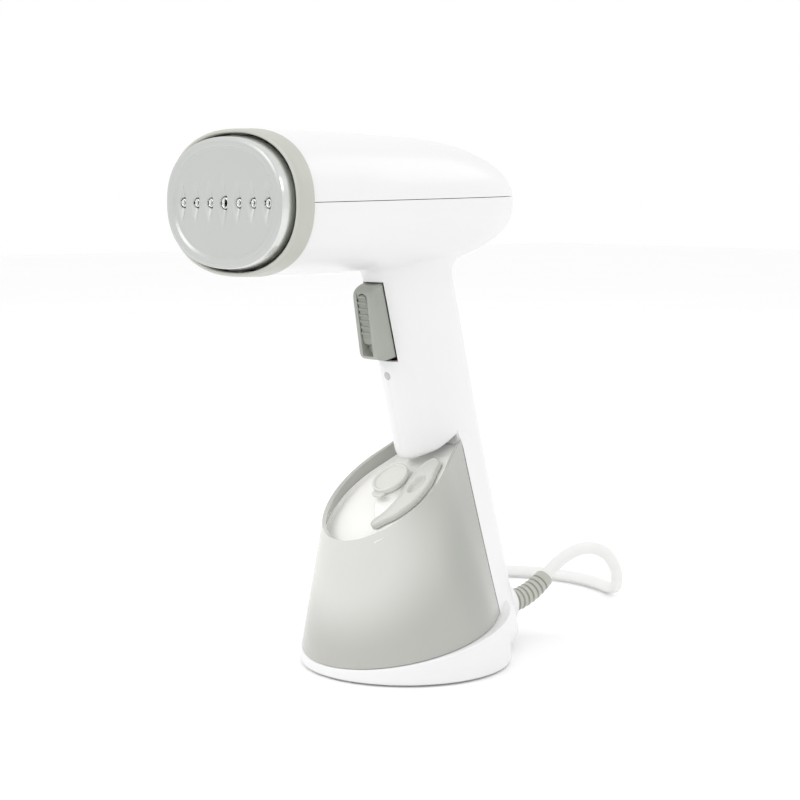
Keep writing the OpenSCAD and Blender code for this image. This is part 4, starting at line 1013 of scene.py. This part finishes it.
# ---------------------------------------------------------------- cord boot
def boot_skin():
    """Boot: circles carried along an arc that bends up; the radius tapers and dips in eight grooves."""
    bend, length, root = 50.0, 50.0 * math.radians(38), BOSS_Y - 2
    s = np.concatenate([[-10, -10, -3], rod(0, length, 250), [length + 0.4, length + 0.5, length]])
    turn = np.clip(s, 0, length + 1) / bend
    y = np.where(s < 0, root + s, root + bend * np.sin(turn))
    z = BOSS_Z + bend * (1 - np.cos(turn))
    r = 6.4 - 1.3 * np.clip(s, 0, length) / length
    place_in = np.mod(s, 3.6)
    dip = 1.25 * ease(1 - np.abs(place_in - 3.0) / 0.62) * ((s > 0) & (s < 28.8))
    r = r - dip + 0.12 * np.cos(place_in / 3.6 * 2 * PI) * (s < 28.8) * (s > 0)
    r[s > length - 0.5] -= 0.3
    r[0], r[1], r[2], r[-1], r[-2], r[-3] = 0, 5.2, 6.2, 0, 4.0, 4.5
    a = rod(0, 2 * PI, 49)[:-1][None]
    r, y, z, turn = r[:, None], y[:, None], z[:, None], turn[:, None]
    return sheet(stack(r * np.cos(a), y - r * np.sin(a) * np.sin(turn), z + r * np.sin(a) * np.cos(turn)), (0, 80, 27),
                 wrap=True)


skin("cord_boot", [boot_skin()], "body", "boot_grey", "strain_relief_boot", closed=True)


# ---------------------------------------------------------------- floor and light
floor_mesh = bpy.data.meshes.new("floor")
floor_mesh.from_pydata([(-6, -6, 0), (6, -6, 0), (6, 6, 0), (-6, 6, 0)], [], [(0, 1, 2, 3)])
floor = bpy.data.objects.new("floor", floor_mesh)
bpy.context.scene.collection.objects.link(floor)
floor_mesh.materials.append(finish("floor_pale", (0.975, 0.975, 0.975), 0.8, grain=(300, 0.02), mottle=(3, 0.01)))


def lamp(name, at, aim, size, watts):
    """Square area light at a point, turned to face another."""
    data = bpy.data.lights.new(name, "AREA")
    data.size, data.energy = size, watts
    obj = bpy.data.objects.new(name, data)
    z = np.array(at, float) - np.array(aim, float)
    z /= np.linalg.norm(z)
    x = np.cross([0, 0, 1], z)
    x /= np.linalg.norm(x)
    y = np.cross(z, x)
    obj.matrix_world = Matrix([[x[k], y[k], z[k], at[k]] for k in range(3)] + [[0, 0, 0, 1]])
    bpy.context.scene.collection.objects.link(obj)


lamp("key", (-0.7, -1.5, 1.3), (0, 0, 0.14), 1.1, 10)
lamp("fill", (1.7, -0.4, 1.4), (0, 0, 0.16), 0.9, 3.5)
lamp("rim", (0.4, 1.6, 1.5), (0, 0, 0.15), 1.2, 5)
world = bpy.data.worlds.new("studio")
world.use_nodes = True
world.node_tree.nodes["Background"].inputs["Color"].default_value = (1, 1, 1, 1)
world.node_tree.nodes["Background"].inputs["Strength"].default_value = 1.0
bpy.context.scene.world = world
bpy.context.scene.view_settings.view_transform = "Standard"
